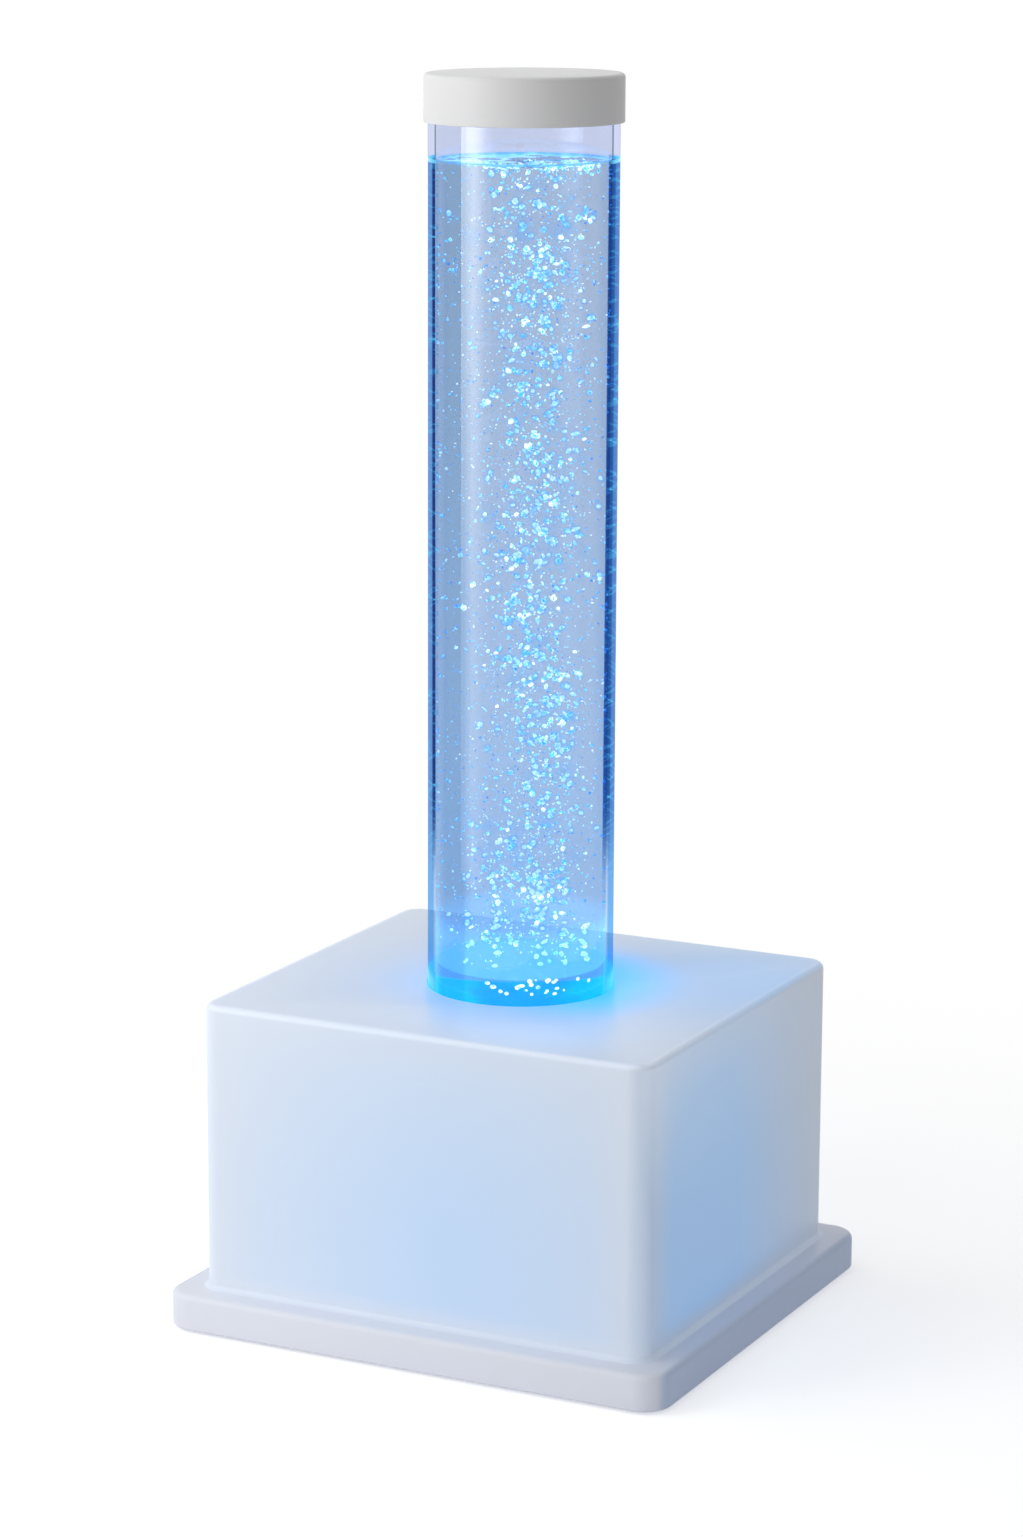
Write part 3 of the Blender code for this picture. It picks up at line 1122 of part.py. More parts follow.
def build_jack(parent):
    """The low-voltage socket in the rear wall, with its nut."""
    outward = (-QUARTER_TURN, 0, 0)
    front = JACK_FLANGE
    pin_root = front - JACK_BORE_DEPTH
    profile = [(0, pin_root + JACK_PIN_LENGTH), (JACK_PIN_RADIUS, pin_root + JACK_PIN_LENGTH)]
    profile += [(JACK_PIN_RADIUS, pin_root), (JACK_BORE, pin_root), (JACK_BORE, front)]
    profile += [(JACK_FLANGE_RADIUS - PANEL_EDGE, front), (JACK_FLANGE_RADIUS, front - PANEL_EDGE)]
    profile += [(JACK_FLANGE_RADIUS, 0), (BARREL_RADIUS, 0), (BARREL_RADIUS, -BARREL_LENGTH)]
    profile += [(0, -BARREL_LENGTH)]
    jack = new_object("power_jack", turned(profile, ROUND_STEPS), BLACK)
    place(jack, rear_place(-1), outward, parent)
    build_panel_nut("jack_nut", -1, parent)


def build_panel_nut(name, column, parent):
    """A nut on the inside of the rear wall, round a threaded barrel."""
    nut = hex_nut(name, PANEL_NUT_RADIUS, BARREL_HOLE, PANEL_NUT_HEIGHT, STEEL)
    place(nut, (column * PANEL_PITCH, REAR_INNER - FIT, PANEL_HEIGHT), (QUARTER_TURN, 0, 0),
          parent)


def build_button(parent):
    """The colour button, sliding in its panel body, with the nut behind."""
    outward = (-QUARTER_TURN, 0, 0)
    front = BUTTON_FLANGE
    well = front - BUTTON_WELL
    stem_well = well - BUTTON_STEM_WELL
    profile = [(0, stem_well), (BUTTON_STEM_RADIUS + FIT, stem_well)]
    profile += [(BUTTON_STEM_RADIUS + FIT, well), (BUTTON_RADIUS + FIT, well)]
    profile += [(BUTTON_RADIUS + FIT, front), (BUTTON_FLANGE_RADIUS - PANEL_EDGE, front)]
    profile += [(BUTTON_FLANGE_RADIUS, front - PANEL_EDGE), (BUTTON_FLANGE_RADIUS, 0)]
    profile += [(BARREL_RADIUS, 0), (BARREL_RADIUS, -BARREL_LENGTH), (0, -BARREL_LENGTH)]
    body = new_object("button_body", turned(profile, ROUND_STEPS), BLACK)
    place(body, rear_place(1), outward, parent)
    build_panel_nut("button_nut", 1, parent)

    top = BUTTON_PROUD
    shoulder = top - BUTTON_LENGTH
    profile = [(0, top), (BUTTON_RADIUS - 2 * BUTTON_CROWN, top - BUTTON_CROWN / 3)]
    profile += [(BUTTON_RADIUS, top - BUTTON_CROWN), (BUTTON_RADIUS, shoulder)]
    profile += [(BUTTON_STEM_RADIUS, shoulder), (BUTTON_STEM_RADIUS, shoulder - BUTTON_STEM_LENGTH)]
    profile += [(0, shoulder - BUTTON_STEM_LENGTH)]
    button = new_object("colour_button", turned(profile, ROUND_STEPS), WHITE)
    across, face, height = rear_place(1)
    place(button, (across, face + front, height), outward, parent)


def build_switch(parent):
    """The rocker switch: its body with blades, and the rocker on its own axis."""
    bezel = rounded_loft(SWITCH_BEZEL_WIDTH, SWITCH_BEZEL_HEIGHT, SWITCH_BEZEL_CORNER, [
        (PANEL_EDGE, SWITCH_BEZEL), (0, SWITCH_BEZEL - PANEL_EDGE), (0, 0)])
    body = new_object("switch_body", bezel, BLACK)
    shank = centered_block(SWITCH_BODY_WIDTH, SWITCH_BODY_HEIGHT, -SWITCH_BODY_DEPTH, FUSE)
    additions = [tool("shank", shank)]
    blade_width, blade_length, blade_thickness = SWITCH_BLADE_SIZE
    for index, side in enumerate((-1, 1)):
        blade = centered_block(
            blade_width, blade_thickness, -SWITCH_BODY_DEPTH - blade_length,
            FUSE - SWITCH_BODY_DEPTH, (0, side * SWITCH_BLADE_PITCH / 2))
        additions.append(tool(f"blade_{index}", blade))
    combine(body, additions, "UNION")
    well = centered_block(
        SWITCH_WELL_WIDTH, SWITCH_WELL_HEIGHT, -SWITCH_WELL_DEPTH, SWITCH_BEZEL + OVERRUN)
    pin_reach = SWITCH_WELL_WIDTH / 2 - FIT + ROCKER_PIN_LENGTH + FIT
    bearing = rod(ROCKER_PIN_RADIUS + FIT, -pin_reach, pin_reach, SMALL_STEPS)
    bearing = moved(bearing, (0, 0, ROCKER_PIVOT_PROUD), QUARTER_TURN, "Y")
    combine(body, [tool("well", well), tool("bearing", bearing)], "DIFFERENCE")
    place(body, rear_place(0), (-QUARTER_TURN, 0, 0), parent)

    half = ROCKER_LENGTH / 2
    keel = ROCKER_KEEL_LENGTH / 2
    middle = (ROCKER_END + ROCKER_DIP) / 2
    outline = [(-half, ROCKER_END), (-half / 2, (middle + ROCKER_DIP) / 2), (0, ROCKER_DIP)]
    outline += [(half / 2, (middle + ROCKER_DIP) / 2), (half, ROCKER_END), (half, -ROCKER_BACK)]
    outline += [(keel, -ROCKER_KEEL), (-keel, -ROCKER_KEEL), (-half, -ROCKER_BACK)]
    width = SWITCH_WELL_WIDTH / 2 - FIT
    rocker = new_object("power_rocker", lofted([
        [(side * width, -v, w) for v, w in outline] for side in (-1, 1)]), BLACK)
    pin_end = width + ROCKER_PIN_LENGTH
    axle = rod(ROCKER_PIN_RADIUS, -pin_end, pin_end, SMALL_STEPS)
    combine(rocker, [tool("axle", moved(axle, turn=QUARTER_TURN, axis="Y"))], "UNION")
    across, face, height = rear_place(0)
    place(rocker, (across, face + ROCKER_PIVOT_PROUD, height),
          (ROCKER_TILT - QUARTER_TURN, 0, 0), parent)


def inside_point(share):
    """A point in the box, as shares of its half width, half depth and height."""
    return (share[0] * INNER_WIDTH / 2, share[1] * INNER_DEPTH / 2,
            PLATE_TOP + share[2] * HOUSING_HEIGHT)


def build_leads(parent):
    """The internal leads, each from its connector on the board to what it feeds."""
    up = Vector((0, 0, LEAD_RISE))
    back = Vector((0, -LEAD_RISE, 0))
    below = Vector((0, 0, FIN_BOTTOM - LEAD_RISE / 2 - BOARD_BOTTOM + FIT))
    starts = [Vector((*control_point(share), CONNECTOR_TOP + FIT)) for share in CONNECTOR_SHARES]
    barrel_end = REAR_FACE - BARREL_LENGTH
    jack_end = Vector((-PANEL_PITCH, barrel_end, PANEL_HEIGHT))
    button_end = Vector((PANEL_PITCH, barrel_end, PANEL_HEIGHT))
    blade_end = REAR_FACE - SWITCH_BODY_DEPTH - SWITCH_BLADE_SIZE[1]
    switch_end = Vector((0, blade_end, PANEL_HEIGHT + SWITCH_BLADE_PITCH / 2))
    motor_end = Vector((PUMP_PLACE[0], MOTOR_REAR + MOTOR_HUB_LENGTH + FIT, PUMP_AXIS))
    led_end = Vector((LED_LEAD_PLACE, 0, BOARD_BOTTOM - FIT))
    routes = (
        ("jack_lead", starts[0], JACK_LEAD_SHARES, back, jack_end),
        ("switch_lead", starts[1], SWITCH_LEAD_SHARES, back, switch_end),
        ("button_lead", starts[2], BUTTON_LEAD_SHARES, back, button_end),
        ("led_lead", starts[3], LED_LEAD_SHARES, below, led_end),
        ("pump_lead", starts[4], PUMP_LEAD_SHARES, -back, motor_end))
    for name, start, shares, before_end, end in routes:
        knots = [start, start + up, *map(inside_point, shares), end + before_end, end]
        place(bent_rod(name, knots, LEAD_RADIUS, BLACK), parent=parent)


def main():
    """Build every sub-assembly under its own empty."""
    clean_start()
    base = group_empty("base_group")
    build_base_plate(base)
    build_bottom_cover(base)
    build_feet(base)
    build_housing(base)
    build_housing_screws(base)
    build_stand(base)
    light = group_empty("light_group")
    build_light(light)
    column = group_empty("column_group")
    build_tube(column)
    build_inlet(column)
    lid = group_empty("cap_group")
    build_cap(lid)
    air = group_empty("air_group")
    build_pump(air)
    build_air_line(air)
    electrics = group_empty("electrics_group")
    build_control_board(electrics)
    build_jack(electrics)
    build_button(electrics)
    build_switch(electrics)
    build_leads(electrics)


main()
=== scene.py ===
"""The looks of the led bubble tube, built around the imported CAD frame.

A clear water-filled tube with a white lid stands in a milky box on a wider
plate. Light from under the tube turns the water and its bubbles blue.
"""

import logging
import math
import random
from dataclasses import dataclass, field
from enum import Enum
from typing import Callable

import bmesh
import bpy
from mathutils import Matrix, Vector


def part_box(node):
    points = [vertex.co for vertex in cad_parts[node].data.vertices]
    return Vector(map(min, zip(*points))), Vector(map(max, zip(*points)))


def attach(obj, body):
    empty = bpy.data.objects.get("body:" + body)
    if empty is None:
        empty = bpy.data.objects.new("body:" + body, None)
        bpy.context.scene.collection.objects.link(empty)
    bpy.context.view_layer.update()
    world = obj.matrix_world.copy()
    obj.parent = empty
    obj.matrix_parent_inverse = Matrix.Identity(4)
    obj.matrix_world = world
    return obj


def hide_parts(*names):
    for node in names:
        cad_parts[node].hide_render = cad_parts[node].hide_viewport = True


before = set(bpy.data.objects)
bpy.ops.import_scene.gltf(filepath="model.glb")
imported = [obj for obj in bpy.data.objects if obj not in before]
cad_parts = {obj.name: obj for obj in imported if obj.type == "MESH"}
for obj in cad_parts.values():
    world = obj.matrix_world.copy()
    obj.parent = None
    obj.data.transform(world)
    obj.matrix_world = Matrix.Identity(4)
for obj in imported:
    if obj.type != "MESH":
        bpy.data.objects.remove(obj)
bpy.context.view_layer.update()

Colour = tuple[float, float, float, float]
Pair = tuple[float, float]
Piece = bpy.types.Object
Socket = bpy.types.NodeSocket

LOG = logging.getLogger("bubble_tube")
PHOTO_HEIGHT = 1537
WHITE = (1.0, 1.0, 1.0, 1.0)
BLACK = (0.0, 0.0, 0.0, 1.0)
FULL_TURN = math.tau
QUARTER_TURN = math.pi / 2
VIEW_TURN = math.radians(27.45)
VIEW_COS, VIEW_SIN = math.cos(VIEW_TURN), math.sin(VIEW_TURN)
BOX_LOW, BOX_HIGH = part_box("base_housing")
PLATE_LOW, PLATE_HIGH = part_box("base_plate")
BOX_CORNER = 0.0120
PANEL_HEIGHT = 0.048
PANEL_PITCH = 0.045
FOOT_BAND_TOP = 0.1835
SAME_PLACE = 0.00002
REPLACED: set[str] = set()


def srgb(red: float, green: float, blue: float) -> Colour:
    """The scene-linear colour of an 8-bit screen colour."""
    shares = (red / 255, green / 255, blue / 255)
    linear = [s / 12.92 if s <= 0.04045 else ((s + 0.055) / 1.055) ** 2.4 for s in shares]
    return (*linear, 1.0)


# Shader trees


class Wiring:
    """Short calls for building one shader tree, of a material, a light or a group."""

    def __init__(self, tree: bpy.types.NodeTree) -> None:
        """Takes a tree and empties it."""
        tree.nodes.clear()
        self.tree = tree

    def node(self, kind: str, *values: object, **settings: object) -> bpy.types.Node:
        """Adds a node, sets its own properties and feeds its inputs.

        Args:
            kind: the node's type name, without its ShaderNode prefix.
            values: sockets or plain values for its inputs, in order.
            settings: property names and values.

        Returns:
            The new node.
        """
        item = self.tree.nodes.new("ShaderNode" + kind)
        for key, value in settings.items():
            setattr(item, key, value)
        for socket, value in zip(item.inputs, values):
            self.feed(socket, value)
        return item

    def feed(self, socket: Socket, value: object) -> None:
        """Links a socket to another, or sets its plain value."""
        if isinstance(value, Socket):
            self.tree.links.new(value, socket)
        else:
            socket.default_value = value

    def give(self, item: bpy.types.Node, **values: object) -> bpy.types.Node:
        """Feeds a node's inputs by their names, with _ for a space, and returns the node."""
        for name, value in values.items():
            self.feed(item.inputs[name.replace("_", " ")], value)
        return item

    def math(self, operation: str, *values: object, clamp: bool = False) -> Socket:
        """The result of one Math node."""
        return self.node("Math", *values, operation=operation, use_clamp=clamp).outputs[0]

    def chain(self, operation: str, *values: object, clamp: bool = False) -> Socket:
        """Values joined by one operation.

        Args:
            operation: the Math node's operation.
            values: sockets or numbers, taken in order.
            clamp: whether each result is held between 0 and 1.

        Returns:
            The last result's socket.
        """
        result = values[0]
        for value in values[1:]:
            result = self.math(operation, result, value, clamp=clamp)
        return result

    def plus(self, *values: object, clamp: bool = False) -> Socket:
        """The sum of the values."""
        return self.chain("ADD", *values, clamp=clamp)

    def times(self, *values: object, clamp: bool = False) -> Socket:
        """The product of the values."""
        return self.chain("MULTIPLY", *values, clamp=clamp)

    def most(self, *values: object) -> Socket:
        """The largest of the values."""
        return self.chain("MAXIMUM", *values)

    def less(self, first: object, second: object) -> Socket:
        """The first value less the second."""
        return self.math("SUBTRACT", first, second)

    def size(self, value: object) -> Socket:
        """A value without its sign."""
        return self.math("ABSOLUTE", value)

    def step(self, value: object, low: object, high: object,
             start: float = 0.0, end: float = 1.0) -> Socket:
        """A smooth step: start up to low, and end from high on."""
        return self.node("MapRange", value, low, high, start, end,
                         interpolation_type="SMOOTHSTEP").outputs[0]

    def fall(self, value: object, low: float, high: float) -> Socket:
        """A smooth step down from 1 to 0."""
        return self.step(value, low, high, 1.0, 0.0)

    def mix(self, share: object, first: object, second: object, how: str = "MIX") -> Socket:
        """A colour between two colours, or one laid over the other.

        Args:
            share: how much of the second there is.
            first: a colour or its socket.
            second: the other colour or its socket.
            how: the way they are mixed.

        Returns:
            The colour's socket.
        """
        item = self.node("Mix", share, data_type="RGBA", blend_type=how, clamp_factor=True)
        self.feed(item.inputs[6], first)
        self.feed(item.inputs[7], second)
        return item.outputs[2]

    def filtered(self, first: object, second: object) -> Socket:
        """One colour laid over another as a filter."""
        return self.mix(1.0, first, second, "MULTIPLY")

    def dimmed(self, colour: object, share: object) -> Socket:
        """A colour times a number."""
        return self.give(self.node("VectorMath", colour, operation="SCALE"), Scale=share).outputs[0]

    def ramp(self, value: object, stops: tuple) -> Socket:
        """A colour ramp.

        Args:
            value: the share that runs along it.
            stops: places and colours, in order.

        Returns:
            The colour's socket.
        """
        item = self.node("ValToRGB", value)
        ramp = item.color_ramp
        while len(ramp.elements) < len(stops):
            ramp.elements.new(1.0)
        for element, (place, colour) in zip(ramp.elements, stops):
            element.position = place
            element.color = colour
        return item.outputs[0]

    def place(self) -> Socket:
        """The Object coordinates, which are the CAD frame's metres."""
        return self.node("TexCoord").outputs["Object"]

    def parts(self, vector: Socket) -> tuple:
        """The three parts of a vector."""
        return tuple(self.node("SeparateXYZ", vector).outputs)

    def from_axis(self, across: Socket, along: Socket) -> Socket:
        """How far a point lies from the tube's axis."""
        return self.math("SQRT", self.plus(self.times(across, across), self.times(along, along)))

    def noise(self, vector: object, scale: object, detail: float = 2.0,
              stretch: tuple[float, float, float] | None = None) -> Socket:
        """A noise value.

        Args:
            vector: the coordinates it reads.
            scale: repeats for each metre.
            detail: its octaves.
            stretch: a scale on each axis first, for drawn-out marks.

        Returns:
            The value's socket.
        """
        if stretch is not None:
            vector = self.give(self.node("Mapping"), Vector=vector, Scale=stretch).outputs[0]
        item = self.give(self.node("TexNoise"), Vector=vector, Scale=scale, Detail=detail)
        return item.outputs[0]

    def slant(self) -> Socket:
        """How far the surface turns from the eye."""
        return self.node("LayerWeight").outputs["Facing"]

    def seen(self) -> Socket:
        """1 where the camera looks, straight, in a mirror or through glass, and 0 for light."""
        path = self.node("LightPath").outputs
        return self.most(path["Is Camera Ray"], path["Is Glossy Ray"], path["Is Transmission Ray"])

    def group(self, kind: type, **values: object) -> object:
        """Places a shared group, feeds its named inputs and gives its outputs."""
        return self.give(self.node("Group", node_tree=kind.tree()), **values).outputs

    def principled(self, **values: object) -> Socket:
        """A Principled shader with its named inputs fed."""
        return self.give(self.node("BsdfPrincipled"), **values).outputs[0]

    def textured(self, texture: object, depth: float, **values: object) -> Socket:
        """A Principled shader with a shared group's colour, roughness and relief.

        Args:
            texture: the group's outputs.
            depth: how deep its relief is, in metres.
            values: the shader's other inputs.

        Returns:
            The shader's socket.
        """
        bump = self.give(self.node("Bump"), Distance=depth, Height=texture["Height"])
        return self.principled(Base_Color=texture["Colour"], Roughness=texture["Roughness"],
                               Normal=bump.outputs[0], **values)

    def clear(self, tint: object = WHITE) -> Socket:
        """A see-through shader."""
        return self.node("BsdfTransparent", tint).outputs[0]

    def blend(self, share: object, first: Socket, second: Socket) -> Socket:
        """A Mix Shader between two shaders."""
        return self.node("MixShader", share, first, second).outputs[0]

    def surface(self, shader: Socket, output: str = "OutputMaterial") -> None:
        """Sends a shader to the tree's output."""
        self.give(self.node(output), Surface=shader)


class SharedGroup:
    """A shader node group, built once and placed in each material with its own values.

    NAME is its name, INPUTS its inputs with their default values, and RESULTS its outputs.
    """

    NAME = ""
    INPUTS: dict[str, object] = {}
    RESULTS: tuple[str, ...] = ()

    @classmethod
    def tree(cls) -> bpy.types.NodeTree:
        """The group's tree, built on its first call."""
        if cls.NAME in bpy.data.node_groups:
            return bpy.data.node_groups[cls.NAME]
        tree = bpy.data.node_groups.new(cls.NAME, "ShaderNodeTree")
        wiring = Wiring(tree)
        for label, value in cls.INPUTS.items():
            cls.add_socket(tree, label, "INPUT").default_value = value
        for label in cls.RESULTS:
            cls.add_socket(tree, label, "OUTPUT")
        source = tree.nodes.new("NodeGroupInput")
        target = tree.nodes.new("NodeGroupOutput")
        wiring.give(target, **cls.wire(wiring, source.outputs))
        return tree

    @staticmethod
    def add_socket(tree: bpy.types.NodeTree, label: str, side: str) -> object:
        """Adds a socket to a group's interface, for a colour if it is called so."""
        kind = "NodeSocketColor" if label == "Colour" else "NodeSocketFloat"
        return tree.interface.new_socket(label, in_out=side, socket_type=kind)

    @classmethod
    def wire(cls, wiring: Wiring, inputs: object) -> dict[str, Socket]:
        """The group's results by name, wired from its inputs."""
        raise NotImplementedError


class MouldedGrain(SharedGroup):
    """The faint clouding, uneven gloss and fine texture of a moulded surface."""

    NAME = "moulded_grain"
    INPUTS = {"Colour": WHITE, "Clouding": 0.05, "Gloss": 0.4, "Gloss spread": 0.08,
              "Grain size": 900.0}
    RESULTS = ("Colour", "Roughness", "Height")
    CLOUDS = 22.0
    GLOSS_PATCHES = 60.0

    @classmethod
    def wire(cls, wiring: Wiring, inputs: object) -> dict[str, Socket]:
        """The group's results by name, wired from its inputs."""
        place = wiring.place()
        darker = wiring.times(inputs["Clouding"], wiring.noise(place, cls.CLOUDS, 3.0))
        uneven = wiring.less(wiring.noise(place, cls.GLOSS_PATCHES), 0.5)
        spread = wiring.times(uneven, inputs["Gloss spread"])
        return {"Colour": wiring.dimmed(inputs["Colour"], wiring.less(1.0, darker)),
                "Roughness": wiring.plus(inputs["Gloss"], spread, clamp=True),
                "Height": wiring.noise(place, inputs["Grain size"])}


class DrawnMetal(SharedGroup):
    """The drawn-out marks that rolling and turning leave on metal."""

    NAME = "drawn_metal"
    INPUTS = {"Colour": WHITE, "Gloss": 0.3, "Marks": 0.12}
    RESULTS = ("Colour", "Roughness", "Height")
    MARKS = 260.0
    DRAWN_OUT = (1.0, 1.0, 9.0)
    TARNISH = 45.0
    TARNISH_DEPTH = 0.16
    BRIGHTEST = 1.06

    @classmethod
    def wire(cls, wiring: Wiring, inputs: object) -> dict[str, Socket]:
        """The group's results by name, wired from its inputs."""
        place = wiring.place()
        marks = wiring.noise(place, cls.MARKS, 3.0, stretch=cls.DRAWN_OUT)
        tarnish = wiring.noise(place, cls.TARNISH, 3.0)
        lift = wiring.times(wiring.less(marks, 0.5), inputs["Marks"])
        shade = wiring.less(cls.BRIGHTEST, wiring.times(tarnish, cls.TARNISH_DEPTH))
        return {"Colour": wiring.dimmed(inputs["Colour"], shade),
                "Roughness": wiring.plus(inputs["Gloss"], lift, clamp=True), "Height": marks}


class TubeLight(SharedGroup):
    """Where a point of the column is: lit foot, air, side, painted edge bands, painted beads and
    painted glowing rims.
    """

    NAME = "tube_light"
    INPUTS = {"Foot": 0.214, "Softness": 0.006, "Water level": 0.621}
    RESULTS = ("Lit", "Fade", "Air", "Side", "Band", "Beads", "Deep", "Across", "Rim", "Depth")
    SWAY = 0.006
    FADE = (-0.01, 0.11)
    AIR_EDGE = (-0.0005, 0.0005)
    SIDE_EDGE = (-0.002, 0.002)
    BAND_START = (0.228, 0.285)
    BEAD_MARKS = (30.0, 30.0, 430.0)
    BEAD_EDGE = (0.56, 0.62)
    BOW = 0.17
    LOW_RIM = (FOOT_BAND_TOP, 0.1900)
    SHORE_LIFT = 0.0004
    SHORE = (0.0006, 0.0013)
    DEEP_EDGE = (-0.0006, 0.0006)
    DEPTHS = (0.24, 0.58)

    @classmethod
    def wire(cls, wiring: Wiring, inputs: object) -> dict[str, Socket]:
        """The group's results by name, wired from its inputs."""
        place = wiring.place()
        across, along, height = wiring.parts(place)
        sway = wiring.times(wiring.noise(place, 14.0, 1.0), cls.SWAY)
        above = wiring.less(height, wiring.plus(inputs["Foot"], sway))
        over = wiring.math("DIVIDE", above, inputs["Softness"])
        air = wiring.less(height, inputs["Water level"])
        right = wiring.plus(wiring.times(across, VIEW_COS), wiring.times(along, VIEW_SIN))
        front = wiring.less(wiring.times(across, VIEW_SIN), wiring.times(along, VIEW_COS))
        beads = wiring.noise(place, 1.0, 2.0, stretch=cls.BEAD_MARKS)
        edge = wiring.plus(wiring.times(wiring.most(front, 0.0), cls.BOW), FOOT_BAND_TOP)
        # Where the painted glowing lines lie: along the top of the foot band and at the water's
        # edge.
        gap = wiring.size(wiring.plus(air, cls.SHORE_LIFT))
        rim = wiring.most(wiring.fall(height, *cls.LOW_RIM), wiring.fall(gap, *cls.SHORE))
        return {"Lit": wiring.fall(over, -1.0, 1.0), "Fade": wiring.fall(above, *cls.FADE),
                "Air": wiring.step(air, *cls.AIR_EDGE), "Side": wiring.step(right, *cls.SIDE_EDGE),
                "Band": wiring.step(height, *cls.BAND_START),
                "Beads": wiring.step(beads, *cls.BEAD_EDGE), "Across": right, "Rim": rim,
                "Deep": wiring.fall(wiring.less(height, edge), *cls.DEEP_EDGE),
                "Depth": wiring.fall(height, *cls.DEPTHS)}


class BoxGlow(SharedGroup):
    """How much of the lamp's blue light comes through the milky box at a point, where its painted
    highlights lie, and where the plate's ends take painted shade.

    Spots give places in shares of the box, reaches and amounts. Ranges give two places
    and, where the step doesn't run between 0 and 1, the values there.
    """

    NAME = "box_glow"
    INPUTS = {"Strength": 1.0, "Edge width": 0.036, "Foot width": 0.014}
    RESULTS = ("Glow", "Hot", "Rim", "End")
    FRONT_SPOTS = (((0.12, -1.00, 0.28), 0.125, 0.52), ((0.00, 1.00, 0.25), 0.105, 0.65))
    SIDE_SPOTS = (((1.00, -0.30, 0.16), 0.105, 0.98), ((1.00, -0.45, 0.85), 0.090, 0.66),
                  ((-1.00, 0.10, 0.20), 0.105, 0.60))
    # The top's spot at the right rear is painted glow that also stands for painted shade there,
    # darkening the top.
    TOP_SPOTS = (((0.05, -0.10, 1.00), 0.125, 0.30), ((0.90, 0.45, 1.00), 0.080, 0.80))
    TOP_LIGHT_POOL = (((0.40, -0.72, 1.00), 0.060, 1.00),)
    UNEVEN = (0.25, 0.75, 0.96, 1.04)
    CORNER_SHADE = (0.35, 1.0)
    FOOT_SHADE = (0.20, 1.0)
    SHOULDER = (-0.02, 0.03, 0.45, 1.0)
    TOP_EDGE = (0.001, 0.003)
    HALO = (0.047, 0.098)
    HALO_DEPTH = (0.001, 0.014)
    ALONG_WEIGHT = 0.9
    TOWARD = (-0.055, 0.055, 0.08, 1.0)
    RIM_WIDTH = (0.0024, 0.0060)
    RIM_DEPTH = (0.0010, 0.0034)
    UPRIGHT_RIM = (0.003, 0.012, 0.45, 0.0)
    SIDE_HIGHLIGHT_DEPTH = (0.0, 0.10, 1.5, 0.0)
    SIDE_HIGHLIGHT_ALONG = (-BOX_HIGH.y, BOX_HIGH.y, 1.0, 0.1)
    # Where the painted shade on the plate's two ends lies.
    END_SHADE_RANGE = (PLATE_HIGH.x - 0.004, PLATE_HIGH.x - 0.0005)

    @classmethod
    def wire(cls, wiring: Wiring, inputs: object) -> dict[str, Socket]:
        """The group's results by name, wired from its inputs."""
        place = wiring.place()
        across, along, height = wiring.parts(place)
        in_x = wiring.less(BOX_HIGH.x, wiring.size(across))
        in_y = wiring.less(BOX_HIGH.y, wiring.size(along))
        in_z = wiring.less(BOX_HIGH.z, height)
        nearer = wiring.most(in_x, in_y)
        corner = wiring.step(nearer, 0.0, inputs["Edge width"], *cls.CORNER_SHADE)
        shoulder = wiring.step(in_z, *cls.SHOULDER)
        foot = wiring.step(wiring.less(height, BOX_LOW.z), 0.0, inputs["Foot width"],
                           *cls.FOOT_SHADE)
        on_wall = wiring.step(in_z, *cls.TOP_EDGE)
        on_top = wiring.less(1.0, on_wall)
        front = wiring.times(cls.spots(wiring, place, cls.FRONT_SPOTS),
                             wiring.fall(in_y, 0.0, BOX_CORNER))
        side = wiring.times(cls.spots(wiring, place, cls.SIDE_SPOTS),
                            wiring.fall(in_x, 0.0, BOX_CORNER))
        sides = wiring.times(shoulder, corner, foot)
        walls = wiring.times(wiring.plus(front, side), sides, on_wall)
        top = wiring.times(cls.spots(wiring, place, cls.TOP_SPOTS), on_top)
        glow = wiring.times(wiring.plus(walls, top), inputs["Strength"])
        uneven = wiring.step(wiring.noise(place, 9.0, 1.0), *cls.UNEVEN)
        toward = wiring.step(wiring.plus(across, wiring.times(along, cls.ALONG_WEIGHT)),
                             *cls.TOWARD)
        hot = wiring.times(wiring.fall(wiring.from_axis(across, along), *cls.HALO),
                           wiring.fall(in_z, *cls.HALO_DEPTH), toward)
        # Painted highlights: a line along the top's edges, bands down the upright corners, a pool
        # of light on the top and the upper part of the two ends.
        top_rim = wiring.times(
            wiring.most(wiring.fall(in_x, *cls.RIM_WIDTH), wiring.fall(in_y, *cls.RIM_WIDTH)),
            wiring.fall(in_z, *cls.RIM_DEPTH))
        upright = wiring.step(nearer, *cls.UPRIGHT_RIM)
        # Painted highlight on the upper part of the two ends, fading downward and toward the rear.
        pale = wiring.times(
            wiring.step(in_z, *cls.SIDE_HIGHLIGHT_DEPTH), wiring.step(along, *cls.SIDE_HIGHLIGHT_ALONG), on_wall,
            wiring.fall(in_x, 0.0, BOX_CORNER * 0.7))
        pool = wiring.times(cls.spots(wiring, place, cls.TOP_LIGHT_POOL), on_top)
        return {"Glow": wiring.times(glow, uneven, clamp=True), "Hot": hot,
                "Rim": wiring.most(top_rim, upright, pool, pale),
                "End": wiring.step(wiring.size(across), *cls.END_SHADE_RANGE)}

